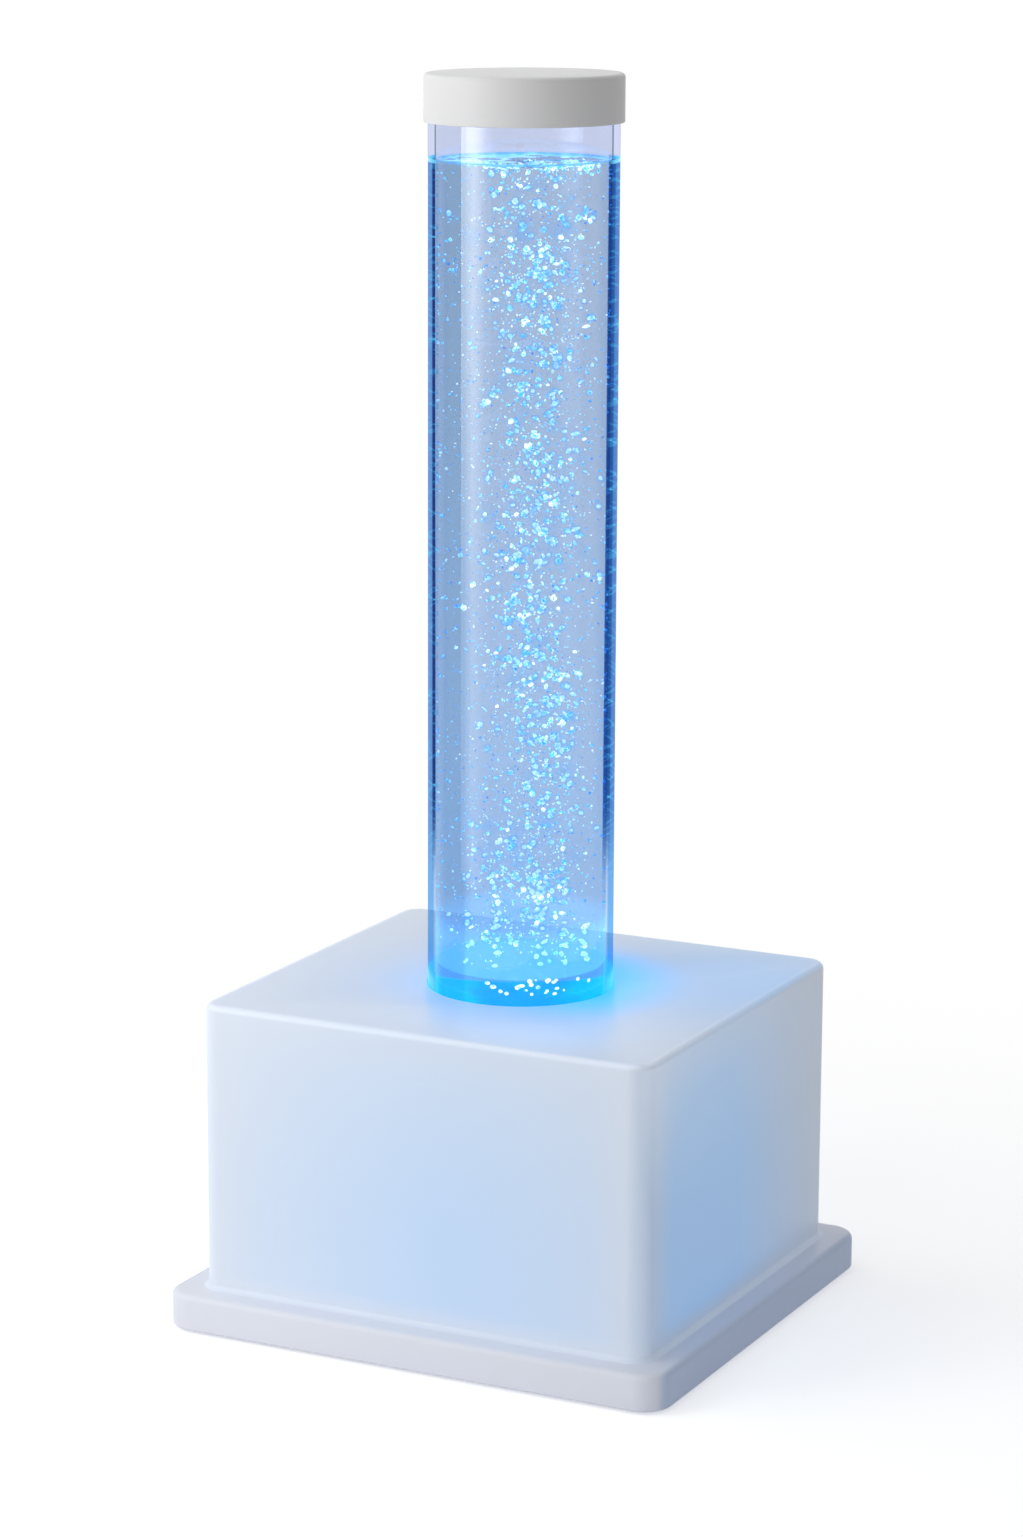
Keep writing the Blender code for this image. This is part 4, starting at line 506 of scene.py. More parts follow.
    @staticmethod
    def spots(wiring: Wiring, place: Socket, spots: tuple) -> Socket:
        """The sum of soft round spots of light.

        Args:
            wiring: the tree's wiring.
            place: the point that is looked at.
            spots: each one's place in shares of the box, its reach and its amount.

        Returns:
            The sum's socket.
        """
        parts = []
        for (share_x, share_y, share_z), reach, amount in spots:
            centre = (share_x * BOX_HIGH.x, share_y * BOX_HIGH.y,
                      BOX_LOW.z + share_z * (BOX_HIGH.z - BOX_LOW.z))
            gap = wiring.node("VectorMath", place, centre, operation="DISTANCE")
            near = wiring.math("DIVIDE", gap.outputs["Value"], reach)
            power = wiring.times(-1.0, wiring.times(near, near))
            parts.append(wiring.times(wiring.math("POWER", math.e, power), amount))
        return wiring.plus(*parts)


# Finishes


@dataclass(frozen=True)
class Finish:
    """A finish, whose material is built when it is first asked for.

    Attributes:
        name: the material's name.
        colour: its main colour, scene-linear, also shown in a plain viewport.
    """

    name: str
    colour: Colour = WHITE

    def material(self) -> bpy.types.Material:
        """The finish as a material, built on its first call."""
        if self.name in bpy.data.materials:
            return bpy.data.materials[self.name]
        material = bpy.data.materials.new(self.name)
        material.use_nodes = True
        material.diffuse_color = self.colour
        self.wire(Wiring(material.node_tree))
        return material

    def wire(self, wiring: Wiring) -> None:
        """Builds the finish's shader tree."""
        raise NotImplementedError


@dataclass(frozen=True)
class Moulded(Finish):
    """A moulded plastic, rubber or board: colour, gloss and fine texture.

    Attributes:
        gloss: its roughness.
        clouding: how much its colour wanders.
        grain: its texture's repeats for each metre.
        relief: how deep that texture is, in metres.
        coat: the weight of a clear gloss over it.
        sheen: the weight of a soft dusty sheen.
    """

    gloss: float = 0.4
    clouding: float = 0.05
    grain: float = 900.0
    relief: float = 0.00003
    coat: float = 0.0
    sheen: float = 0.0

    def wire(self, wiring: Wiring) -> None:
        """Builds the finish's shader tree."""
        grain = wiring.group(MouldedGrain, Colour=self.colour, Clouding=self.clouding,
                             Gloss=self.gloss, Grain_size=self.grain)
        wiring.surface(wiring.textured(grain, self.relief, Coat_Weight=self.coat,
                                       Sheen_Weight=self.sheen))


@dataclass(frozen=True)
class Metal(Finish):
    """A drawn or turned metal.

    Attributes:
        gloss: its roughness.
        marks: how much its marks change that.
        relief: how deep the marks are, in metres.
    """

    gloss: float = 0.3
    marks: float = 0.12
    relief: float = 0.00002

    def wire(self, wiring: Wiring) -> None:
        """Builds the finish's shader tree."""
        drawn = wiring.group(DrawnMetal, Colour=self.colour, Gloss=self.gloss, Marks=self.marks)
        wiring.surface(wiring.textured(drawn, self.relief, Metallic=1.0))


@dataclass(frozen=True)
class Opal(Finish):
    """Milky plastic that the lamp's blue light comes through.

    Attributes:
        colour: the milk's colour where little light comes through.
        rest: the light that all of it gives off.
        strength: how much of the lamp's light comes through.
        rim: how strong the painted highlights are on its upper edges, its upright corners, its
            upper ends and in the pool of light on its top.
        end: the colour of the painted shade on the plate's two ends, if any.
        relief: how deep its fine texture is, in metres.
    """

    LIT_COLOUR = (0.40, 0.61, 0.86, 1.0)
    HOT_COLOUR = (0.14, 0.53, 1.0, 1.0)
    LIT_LIGHT = (0.090, 0.160, 0.285, 1.0)
    HOT_LIGHT = (0.01, 0.29, 0.70, 1.0)
    RIM_LIGHT = (0.19, 0.235, 0.31, 1.0)

    colour: Colour = (0.775, 0.80, 0.85, 1.0)
    rest: Colour = (0.055, 0.086, 0.128, 1.0)
    strength: float = 1.0
    rim: float = 0.6
    end: Colour | None = None
    relief: float = 0.000006

    def wire(self, wiring: Wiring) -> None:
        """Builds the finish's shader tree."""
        glow = wiring.group(BoxGlow, Strength=self.strength)
        tint = wiring.mix(glow["Glow"], self.colour, self.LIT_COLOUR)
        tint = wiring.mix(glow["Hot"], tint, self.HOT_COLOUR)
        # Painted shade on the plate's two ends.
        if self.end:
            tint = wiring.mix(glow["End"], tint, self.end)
        grain = wiring.group(MouldedGrain, Colour=tint, Clouding=0.012, Gloss=0.34,
                             Gloss_spread=0.05, Grain_size=420.0)
        light = wiring.mix(glow["Glow"], self.rest, self.LIT_LIGHT)
        light = wiring.mix(glow["Hot"], light, self.HOT_LIGHT)
        # Painted highlights on the edges, the corners, the upper ends and the pool of light on the
        # top.
        light = wiring.mix(wiring.times(glow["Rim"], self.rim), light, self.RIM_LIGHT)
        wiring.surface(wiring.textured(
            grain, self.relief, Specular_IOR_Level=0.28, Coat_Weight=0.04,
            Emission_Color=light, Emission_Strength=1.0))


class Wall(Enum):
    """The two faces of the tube's wall."""

    OUTSIDE = "outside"
    BORE = "bore"


@dataclass(frozen=True)
class ClearWall(Finish):
    """One face of the clear tube, see-through with gloss, with light and shade painted on it.

    Ramps along an edge run from the middle of the wall, 0, to its outline, 1.

    Attributes:
        face: which face of the wall it is.
        mirror: how much it reflects where it is looked at squarely.
        dry_mirror: the same above the water.
        graze: how much more it reflects where it is looked at along itself.
        dry_graze: the same above the water.
    """

    LIT_COLOUR = (0.90, 0.955, 0.995, 1.0)
    # Painted edge colours by slant: the dark band's shade and the pale strip's light below the
    # water on the left and the right, in the lit foot and in the air, and painted cyan beads.
    WET_LEFT = ((0.598, WHITE), (0.620, (0.045, 0.20, 0.46, 1.0)), (0.688, (0.05, 0.21, 0.47, 1.0)),
                (0.708, (0.34, 0.58, 0.86, 1.0)), (0.90, (0.36, 0.60, 0.87, 1.0)),
                (0.97, (0.60, 0.78, 0.95, 1.0)))
    WET_RIGHT = ((0.519, WHITE), (0.538, (0.13, 0.37, 0.64, 1.0)), (0.60, (0.08, 0.31, 0.60, 1.0)),
                 (0.688, (0.12, 0.38, 0.66, 1.0)), (0.708, (0.24, 0.49, 0.80, 1.0)),
                 (0.90, (0.27, 0.52, 0.82, 1.0)), (0.97, (0.52, 0.73, 0.92, 1.0)))
    LIT_EDGE = ((0.60, WHITE), (0.69, (0.46, 0.76, 0.99, 1.0)), (1.0, (0.38, 0.71, 0.98, 1.0)))
    DRY_EDGE = ((0.585, WHITE), (0.61, (0.46, 0.50, 0.60, 1.0)), (0.645, (0.95, 0.96, 1.0, 1.0)),
                (0.90, (0.90, 0.92, 1.0, 1.0)), (0.97, (0.70, 0.74, 0.86, 1.0)))
    BEAD_COLOUR = (0.34, 0.86, 1.0, 1.0)
    BEAD_COVER = 0.85
    BEAD_PLACE = (0.53, 0.56)
    # Painted shade round the bore: its colour, and its bands by share of a turn.
    SHADE = (0.74, 0.85, 0.905, 1.0)
    SHADE_BANDS = ((0.0, SHADE), (0.010, WHITE), (0.120, WHITE), (0.135, SHADE), (0.209, SHADE),
               (0.214, WHITE), (0.60, WHITE), (0.64, (0.93, 0.95, 0.97, 1.0)), (0.68, WHITE),
               (0.925, WHITE), (0.931, SHADE), (1.0, SHADE))
    BAND_LEFT = 0.605
    BAND_SHIFT = 0.083
    BAND_MIRROR = (0.0, 0.018, 1.0, 0.12)
    STRIP_MIRROR = (0.690, 0.710, 0.0, 0.22)
    DISC_MIRROR = (0.0, 1.0, 1.0, 0.25)
    GLOW_LINE_TURN = (0.50, 0.70, 0.10, 0.80)

    colour: Colour = (0.845, 0.87, 0.943, 1.0)
    face: Wall = Wall.BORE
    mirror: float = 0.08
    dry_mirror: float = 0.08
    graze: float = 0.30
    dry_graze: float = 0.30

    def wire(self, wiring: Wiring) -> None:
        """Builds the finish's shader tree."""
        light = wiring.group(TubeLight)
        slant = wiring.slant()
        tint = wiring.mix(light["Lit"], self.colour, self.LIT_COLOUR)
        square = wiring.step(light["Air"], 0.0, 1.0, self.mirror, self.dry_mirror)
        rise = wiring.step(light["Air"], 0.0, 1.0, self.graze, self.dry_graze)
        mirror = wiring.plus(square, wiring.times(wiring.math("POWER", slant, 5.0), rise))
        if self.face is Wall.OUTSIDE:
            # Painted shade and light along the outside's edges.
            tint = wiring.filtered(tint, self.painted_edge_bands(wiring, light, slant))
            mirror = self.bared(wiring, light, slant, mirror)
        else:
            # Painted shade bands on the bore, below the water.
            tint = wiring.filtered(tint, self.painted_shade_bands(wiring, light["Air"]))
        gloss = wiring.principled(Base_Color=WHITE, Metallic=1.0, Roughness=0.035)
        wall = wiring.blend(mirror, wiring.clear(tint), gloss)
        if self.face is Wall.OUTSIDE:
            # A painted glowing cyan line on the outside, along the top of the lit foot band and at
            # the water's edge.
            rim = wiring.principled(Base_Color=BLACK, Roughness=0.2, Emission_Strength=1.0,
                                    Emission_Color=srgb(70, 205, 255))
            share = wiring.times(light["Rim"], wiring.step(slant, *self.GLOW_LINE_TURN))
            wall = wiring.blend(share, wall, rim)
        wiring.surface(wall)

    def bared(self, wiring: Wiring, light: object, slant: Socket, mirror: Socket) -> Socket:
        """Takes the gloss off the dark bands and off the disc behind the wall.

        Args:
            wiring: the material's wiring.
            light: the outputs of the tube's light group.
            slant: how far the wall turns from the eye.
            mirror: how much the wall reflects before.

        Returns:
            How much it reflects then.
        """
        start = wiring.less(self.BAND_LEFT, wiring.times(light["Side"], self.BAND_SHIFT))
        kept = wiring.step(wiring.less(slant, start), *self.BAND_MIRROR)
        regained = wiring.step(slant, *self.STRIP_MIRROR)
        return wiring.times(mirror, wiring.plus(kept, regained),
                            wiring.step(light["Deep"], *self.DISC_MIRROR))

    def painted_edge_bands(self, wiring: Wiring, light: object, slant: Socket) -> Socket:
        """The painted shade of the dark band and the painted light of the pale strip along both
        sides of the wall, each side its own, with painted cyan beads in the band.

        Args:
            wiring: the material's wiring.
            light: the outputs of the tube's light group.
            slant: how far the wall turns from the eye.

        Returns:
            The painted colour of the edges, white elsewhere.
        """
        wet = wiring.mix(light["Side"], wiring.ramp(slant, self.WET_LEFT),
                         wiring.ramp(slant, self.WET_RIGHT))
        beads = wiring.times(light["Beads"], wiring.step(slant, *self.BEAD_PLACE), self.BEAD_COVER)
        wet = wiring.mix(beads, wet, self.BEAD_COLOUR)
        wet = wiring.mix(light["Band"], wiring.ramp(slant, self.LIT_EDGE), wet)
        return wiring.mix(light["Air"], wet, wiring.ramp(slant, self.DRY_EDGE))

    def painted_shade_bands(self, wiring: Wiring, dry: Socket) -> Socket:
        """Upright bands of painted shade round the bore, which darken the column's left side as the
        camera sees it, and its right side faintly.

        Args:
            wiring: the material's wiring.
            dry: where the tube holds air.

        Returns:
            The colour of the painted shade, white elsewhere.
        """
        across, along, _ = wiring.parts(wiring.place())
        turn = wiring.math("ARCTAN2", along, across)
        share = wiring.plus(wiring.math("DIVIDE", turn, FULL_TURN), 0.5)
        return wiring.mix(dry, wiring.ramp(share, self.SHADE_BANDS), WHITE)


@dataclass(frozen=True)
class LitWater(Finish):
    """The water's side: a pale blue body that the lamp lights azure at its foot, with painted shade
    toward its edges.
    """

    LIT_COLOUR = (0.74, 0.90, 1.0, 1.0)
    EDGE = ((0.45, WHITE), (0.70, (0.86, 0.92, 0.97, 1.0)), (0.86, (0.60, 0.76, 0.92, 1.0)))
    LIT_EDGE = (0.90, 0.96, 1.0, 1.0)
    FOOT_GLOW = 0.115
    DEEP_GLOW = 0.046
    LEAST_GLOW = 0.012

    name: str = "lit_water"
    colour: Colour = (0.81, 0.88, 0.895, 1.0)

    def wire(self, wiring: Wiring) -> None:
        """Builds the finish's shader tree."""
        light = wiring.group(TubeLight)
        tint = wiring.mix(light["Lit"], self.colour, self.LIT_COLOUR)
        # Painted shade toward the edges, lighter in the lit foot.
        edge = wiring.ramp(wiring.slant(), self.EDGE)
        edge = wiring.mix(light["Fade"], edge, self.LIT_EDGE)
        glow = wiring.principled(
            Base_Color=(0.02, 0.10, 0.25, 1.0), Roughness=0.1,
            Emission_Color=(0.13, 0.50, 0.93, 1.0), Emission_Strength=2.2)
        share = wiring.plus(wiring.times(light["Lit"], self.FOOT_GLOW),
                            wiring.times(light["Depth"], self.DEEP_GLOW), self.LEAST_GLOW)
        wiring.surface(wiring.blend(share, wiring.clear(wiring.filtered(tint, edge)), glow))


@dataclass(frozen=True)
class WaterSurface(Finish):
    """The top of the water, painted as a cyan glow of the lamp's light, with paler patches of
    broken bubbles.
    """

    TONES = ((0.24, srgb(0, 138, 228)), (0.40, srgb(0, 168, 244)), (0.50, srgb(60, 182, 246)),
             (0.58, srgb(128, 200, 248)), (0.65, srgb(90, 220, 255)), (0.74, srgb(235, 252, 255)))
    PATCHES = 105.0
    ENDS = (0.030, 0.044, 0.0, 0.20)
    COVER = (0.30, 0.66, 0.70, 0.94)

    name: str = "water_surface"
    colour: Colour = srgb(0, 170, 240)

    def wire(self, wiring: Wiring) -> None:
        """Builds the finish's shader tree."""
        light = wiring.group(TubeLight)
        patches = wiring.noise(wiring.place(), self.PATCHES, 3.0, stretch=(1.0, 1.0, 0.2))
        ends = wiring.step(wiring.size(light["Across"]), *self.ENDS)
        tone = wiring.ramp(wiring.less(patches, ends), self.TONES)
        painted_glow = wiring.principled(Base_Color=srgb(0, 110, 200), Roughness=0.08,
                                  Emission_Color=tone, Emission_Strength=1.35)
        share = wiring.step(patches, *self.COVER)
        wiring.surface(wiring.blend(share, wiring.clear((0.75, 0.92, 1.0, 1.0)), painted_glow))


@dataclass(frozen=True)
class LitDisc(Finish):
    """The clear discs in the tube's foot, full of the lamp's light.

    Attributes:
        colour: its glow's lighter colour.
        deep: its glow's darker colour.
        pale: its dimmer glow above the bright band.
        cover: how much of what is behind it hides.
    """

    PATCHES = 42.0
    ENDS = (0.012, 0.044, -0.14, 0.22)

    colour: Colour = srgb(0, 200, 255)
    deep: Colour = srgb(10, 162, 246)
    pale: Colour = srgb(80, 160, 222)
    cover: float = 0.90

    def wire(self, wiring: Wiring) -> None:
        """Builds the finish's shader tree."""
        light = wiring.group(TubeLight)
        patches = wiring.noise(wiring.place(), self.PATCHES, 3.0, stretch=(1.0, 1.0, 2.4))
        # The painted glow is lighter toward the left and right ends as the camera sees them.
        ends = wiring.step(wiring.size(light["Across"]), *self.ENDS)
        tone = wiring.ramp(wiring.plus(patches, ends), ((0.34, self.deep), (0.66, self.colour)))
        tone = wiring.mix(light["Deep"], self.pale, tone)
        painted_glow = wiring.principled(Base_Color=srgb(0, 90, 190), Roughness=0.12,
                                  Specular_IOR_Level=0.12, Emission_Color=tone,
                                  Emission_Strength=1.0)
        wiring.surface(wiring.blend(self.cover, wiring.clear((0.62, 0.86, 1.0, 1.0)), painted_glow))


@dataclass(frozen=True)
class BubbleLight(Finish):
    """Bubbles that catch the lamp's light, mottled from deep blue to white.

    Attributes:
        strength: the brightness of their light.
        mottle: the repeats of the mottling for each metre.
    """

    TONES = ((0.0, srgb(0, 62, 150)), (0.14, srgb(0, 112, 205)), (0.32, srgb(22, 178, 250)),
             (0.52, srgb(80, 218, 255)), (0.70, srgb(190, 247, 255)), (1.0, WHITE))
    SWING = (0.30, 0.70, -0.40, 0.40)
    RIM = (0.45, 0.90)
    RIM_COVER = 0.70

    colour: Colour = srgb(230, 255, 255)
    strength: float = 1.4
    mottle: float = 620.0

    def wire(self, wiring: Wiring) -> None:
        """Builds the finish's shader tree."""
        tone = wiring.node("Attribute", attribute_name=BubbleStream.TONE).outputs["Fac"]
        mottling = wiring.noise(wiring.place(), self.mottle, 1.0)
        colour = wiring.ramp(wiring.plus(tone, wiring.step(mottling, *self.SWING)), self.TONES)
        rim = wiring.times(wiring.step(wiring.slant(), *self.RIM), self.RIM_COVER)
        colour = wiring.mix(rim, colour, srgb(30, 170, 250))
        wiring.surface(wiring.principled(
            Base_Color=srgb(60, 150, 220), Roughness=0.15, Emission_Color=colour,
            Emission_Strength=self.strength))


@dataclass(frozen=True)
class BubbleHaze(Finish):
    """The soft blue light round bubbles, strongest where it is looked through squarely.

    Attributes:
        cover: how much it hides at its middle.
        strength: the brightness of its light.
    """

    cover: float = 0.5
    strength: float = 1.25

    def wire(self, wiring: Wiring) -> None:
        """Builds the finish's shader tree."""
        square = wiring.less(1.0, wiring.slant())
        soft = wiring.times(wiring.math("POWER", square, 2.0), self.cover)
        hidden = wiring.node("NewGeometry").outputs["Backfacing"]
        share = wiring.times(soft, wiring.less(1.0, hidden))
        light = wiring.principled(Base_Color=BLACK, Roughness=1.0, Emission_Color=self.colour,
                                  Emission_Strength=self.strength)
        wiring.surface(wiring.blend(share, wiring.clear(), light))


@dataclass(frozen=True)
class PaleFloor(Finish):
    """A plain pale floor that runs out to white.

    Attributes:
        lift: the light it shows the camera, so that it looks almost white.
        reach: where it starts to turn white and where it is white.
    """

    lift: float = 0.52
    reach: Pair = (0.26, 0.75)

    def wire(self, wiring: Wiring) -> None:
        """Builds the finish's shader tree."""
        seen = wiring.seen()
        across, along, _ = wiring.parts(wiring.place())
        far = wiring.times(wiring.step(wiring.from_axis(across, along), *self.reach), seen)
        pale = wiring.principled(Base_Color=(0.86, 0.86, 0.87, 1.0), Roughness=0.9,
                                 Emission_Color=WHITE,
                                 Emission_Strength=wiring.times(seen, self.lift))
        white = wiring.node("Emission", WHITE, 1.0).outputs[0]
        wiring.surface(wiring.blend(far, pale, white))


BLACK_PLASTIC = Moulded("fitting_black", (0.022, 0.022, 0.025, 1.0), 0.42, 0.1, 1300.0)


# The bench: modelling by Blender's own tools


def deselect() -> None:
    """Deselects every object."""
    for item in bpy.context.selected_objects:
        item.select_set(False)


def take(piece: Piece) -> None:
    """Makes a piece the only selected and active one."""
    deselect()
    piece.select_set(True)
    bpy.context.view_layer.objects.active = piece


def new_piece(name: str) -> Piece:
    """Names the primitive just added and puts its place and size into its mesh."""
    piece = bpy.context.object
    piece.name = name
    piece.data.name = name
    take(piece)
    bpy.ops.object.transform_apply(location=True, rotation=True, scale=True)
    return piece


def edit(piece: Piece, kind: str = "EDGE") -> None:
    """Starts work on a piece's mesh with nothing selected."""
    take(piece)
    bpy.ops.object.mode_set(mode="EDIT")
    bpy.ops.mesh.select_mode(type=kind)
    bpy.ops.mesh.select_all(action="DESELECT")


def leave() -> None:
    """Ends work on a mesh."""
    bpy.ops.object.mode_set(mode="OBJECT")


def pick(piece: Piece, kind: str, wanted: Callable) -> None:
    """Selects the edges or faces that a test wants, in edit mode.

    Args:
        piece: the piece in work.
        kind: edges or faces.
        wanted: a test of one of them.
    """
    mesh = bmesh.from_edit_mesh(piece.data)
    for part in getattr(mesh, kind):
        if wanted(part):
            part.select_set(True)
    bmesh.update_edit_mesh(piece.data)


def round_picked(radius: float, steps: int, profile: float = 0.5) -> None:
    """Bevels the picked edges and ends work on the mesh."""
    bpy.ops.mesh.bevel(offset=radius, segments=steps, profile=profile, affect="EDGES")
    leave()


def trace(name: str, points: list[tuple]) -> Piece:
    """Starts a piece as a chain of points, each extruded from the one before.

    Args:
        name: the piece's name.
        points: the chain's points, in order.

    Returns:
        The piece, in edit mode with all of it selected.
    """
    deselect()
    bpy.ops.mesh.primitive_plane_add(size=0.0001, location=points[0])
    piece = new_piece(name)
    edit(piece, "VERT")
    bpy.ops.mesh.select_all(action="SELECT")
    bpy.ops.mesh.merge(type="CENTER")
    for point, following in zip(points, points[1:]):
        move = tuple(b - a for a, b in zip(point, following))
        bpy.ops.mesh.extrude_region_move(TRANSFORM_OT_translate={"value": move})
    bpy.ops.mesh.select_all(action="SELECT")
    return piece


def turn_profile(name: str, profile: list[Pair], steps: int, axis_at: Pair = (0.0, 0.0)) -> Piece:
    """Spins a profile round an upright axis.

    Args:
        name: the piece's name.
        profile: radii and heights, in order; closed if the ends meet.
        steps: the steps of a full turn.
        axis_at: where the axis stands.

    Returns:
        The turned piece.
    """
    at_x, at_y = axis_at
    piece = trace(name, [(at_x + radius, at_y, height) for radius, height in profile])
    bpy.ops.mesh.spin(steps=steps, angle=FULL_TURN, center=(at_x, at_y, 0), axis=(0, 0, 1))
    bpy.ops.mesh.select_all(action="SELECT")
    bpy.ops.mesh.remove_doubles(threshold=0.000002)
    bpy.ops.mesh.normals_make_consistent(inside=False)
    leave()
    return piece


def round_corner(centre: Pair, radius: float, start: float, end: float, steps: int) -> list[Pair]:
    """The points of an arc, angles in degrees."""
    angles = [math.radians(start + (end - start) * i / steps) for i in range(steps + 1)]
    return [(centre[0] + radius * math.cos(a), centre[1] + radius * math.sin(a)) for a in angles]


def climb(radius: float, low: float, high: float, steps: int = 12) -> list[Pair]:
    """The points between the ends of an upright wall."""
    return [(radius, low + (high - low) * i / steps) for i in range(1, steps)]


def rounded_block(name: str, low: tuple, high: tuple, corner: float, steps: int = 14) -> Piece:
    """A block with rounded upright corners.

    Args:
        name: the piece's name.
        low: its lowest corner.
        high: its highest corner.
        corner: the radius of its upright corners.
        steps: the faces round each corner.

    Returns:
        The block.
    """
    deselect()
    centre = [(a + b) / 2 for a, b in zip(low, high)]
    size = [b - a for a, b in zip(low, high)]
    bpy.ops.mesh.primitive_cube_add(size=1.0, location=centre, scale=size)
    piece = new_piece(name)
    edit(piece)
    pick(piece, "edges", lambda e: abs(e.verts[0].co.z - e.verts[1].co.z) > size[2] / 2)
    round_picked(corner, steps)
    return piece


def centred_block(name: str, half: Pair, span: Pair, corner: float, steps: int,
                  at: Pair = (0.0, 0.0)) -> Piece:
    """A rounded block round an upright axis.

    Args:
        name: the piece's name.
        half: half its width and half its depth.
        span: its lowest and highest heights.
        corner: the radius of its upright corners.
        steps: the faces round each corner.
        at: where the axis stands.

    Returns:
        The block.
    """
    low = (at[0] - half[0], at[1] - half[1], span[0])
    return rounded_block(name, low, (at[0] + half[0], at[1] + half[1], span[1]), corner, steps)


def soften_rim(piece: Piece, height: float, radius: float, steps: int) -> None:
    """Rounds the edges that lie at one height.

    Args:
        piece: the piece.
        height: where the edges lie.
        radius: the rounding's radius.
        steps: the faces round it.
    """
    edit(piece)
    pick(piece, "edges", lambda e: all(abs(v.co.z - height) < SAME_PLACE for v in e.verts)
         and len(e.link_faces) == 2
         and abs(e.link_faces[0].normal.z - e.link_faces[1].normal.z) > 0.5)
    round_picked(radius, steps)


def apply_modifier(piece: Piece, kind: str, **settings: object) -> None:
    """Adds a modifier, sets it and applies it.

    Args:
        piece: the piece.
        kind: the modifier's type.
        settings: its properties.
    """
    take(piece)
    modifier = piece.modifiers.new(kind.lower(), kind)
    for key, value in settings.items():
        setattr(modifier, key, value)
    bpy.ops.object.modifier_apply(modifier=modifier.name)


def cut(piece: Piece, *cutters: Piece, how: str = "DIFFERENCE") -> None:
    """Cuts closed pieces out of another and removes them."""
    for cutter in cutters:
        apply_modifier(piece, "BOOLEAN", operation=how, solver="EXACT", object=cutter)
        bpy.data.objects.remove(cutter)


def join_on(piece: Piece, *additions: Piece) -> None:
    """Joins closed pieces to another as one body."""
    cut(piece, *additions, how="UNION")


def turned_to_rear(piece: Piece, across: float, face: float, height: float,
                   tilt: float = 0.0) -> Piece:
    """Turns an upright piece so that its top looks to the rear, and puts it on the panel.

    Args:
        piece: a piece built on the upright axis, its seat at height zero.
        across: its place across the panel.
        face: the panel's face.
        height: its height on the panel.
        tilt: how far it then leans up.

    Returns:
        The piece.
    """
    piece.data.transform(Matrix.Translation((across, face, height))
                         @ Matrix.Rotation(tilt - QUARTER_TURN, 4, "X"))
    return piece


def smooth(piece: Piece, degrees: float = 32.0) -> None:
    """Shades a piece smooth, with creases kept."""
    take(piece)
    bpy.ops.object.shade_smooth_by_angle(angle=math.radians(degrees), keep_sharp_edges=True)


def dress(piece: Piece, *finishes: Finish, second: Callable | None = None) -> None:
    """Gives a piece its finishes.

    Args:
        piece: the piece.
        finishes: one, or two where some faces differ.
        second: a test of the faces that take the second one.
    """
    piece.data.materials.clear()
    for item in finishes:
        piece.data.materials.append(item.material())
    if second:
        for face in piece.data.polygons:
            face.material_index = int(second(face))


def hand_over(piece: Piece, body: str, slot: str, *nodes: str) -> None:
    """Hangs a piece on the empty of the body it rides on and hides the nodes it stands for.

    Args:
        piece: the finished piece.
        body: the CAD body it moves with.
        slot: not used.
        nodes: the CAD nodes it replaces.
    """
    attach(piece, body)
    if nodes:
        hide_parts(*nodes)
        REPLACED.update(nodes)
    LOG.info("%s: %d faces, on %s", piece.name, len(piece.data.polygons), body)


# Sub-assemblies


@dataclass
class Housing:
    """The milky box: open below, with the tube's opening and the rear openings."""

    wall: float = 0.004
    edge: float = 0.0036
    opening: float = 0.0503
    opening_depth: float = 0.012
    lip: float = 0.0009
    overcut: float = 0.002
    barrel_opening: float = 0.0060
    switch_opening: Pair = (0.0063, 0.0093)
    cut_reach: float = 0.01

    def build(self) -> None:
        """Models the box, cuts its openings and dresses it."""
        shell = rounded_block("opal_box", BOX_LOW, BOX_HIGH, BOX_CORNER)
        soften_rim(shell, BOX_HIGH.z, self.edge, 7)
        edit(shell, "FACE")
        pick(shell, "faces", lambda f: f.normal.z < -0.5)
        bpy.ops.mesh.delete(type="FACE")
        leave()
        apply_modifier(shell, "SOLIDIFY", thickness=self.wall, offset=-1.0, use_even_offset=True)
        cut(shell, self.tube_cutter(), *self.panel_cutters())
        smooth(shell)
        dress(shell, Opal("opal_box_milk"))
        hand_over(shell, "lamp", "opal_plastic", "base_housing")

    def tube_cutter(self) -> Piece:
        """The round opening for the tube, its rim slightly broken."""
        top, radius, lip = BOX_HIGH.z, self.opening, self.lip
        high, low = top + self.overcut, top - self.opening_depth
        return turn_profile("tube_opening", [
            (0, high), (radius + lip, high), (radius + lip, top),
            (radius + lip * 0.3, top - lip * 0.3), (radius, top - lip),
            (radius, low), (0, low)], 128)

    def panel_cutters(self) -> list[Piece]:
        """The openings for the socket, the rocker switch and the colour button."""
        reach, radius = self.cut_reach, self.barrel_opening
        profile = [(0, reach), (radius, reach), (radius, -reach), (0, -reach)]
        cutters = [turned_to_rear(turn_profile("barrel_opening", profile, 40),
                                  side * PANEL_PITCH, BOX_HIGH.y, PANEL_HEIGHT)
                   for side in (-1, 1)]
        half_width, half_height = self.switch_opening
        span = (PANEL_HEIGHT - half_height, PANEL_HEIGHT + half_height)
        cutters.append(centred_block("switch_opening", (half_width, reach), span, 0.0001, 1,
                                     (0.0, BOX_HIGH.y)))
        return cutters


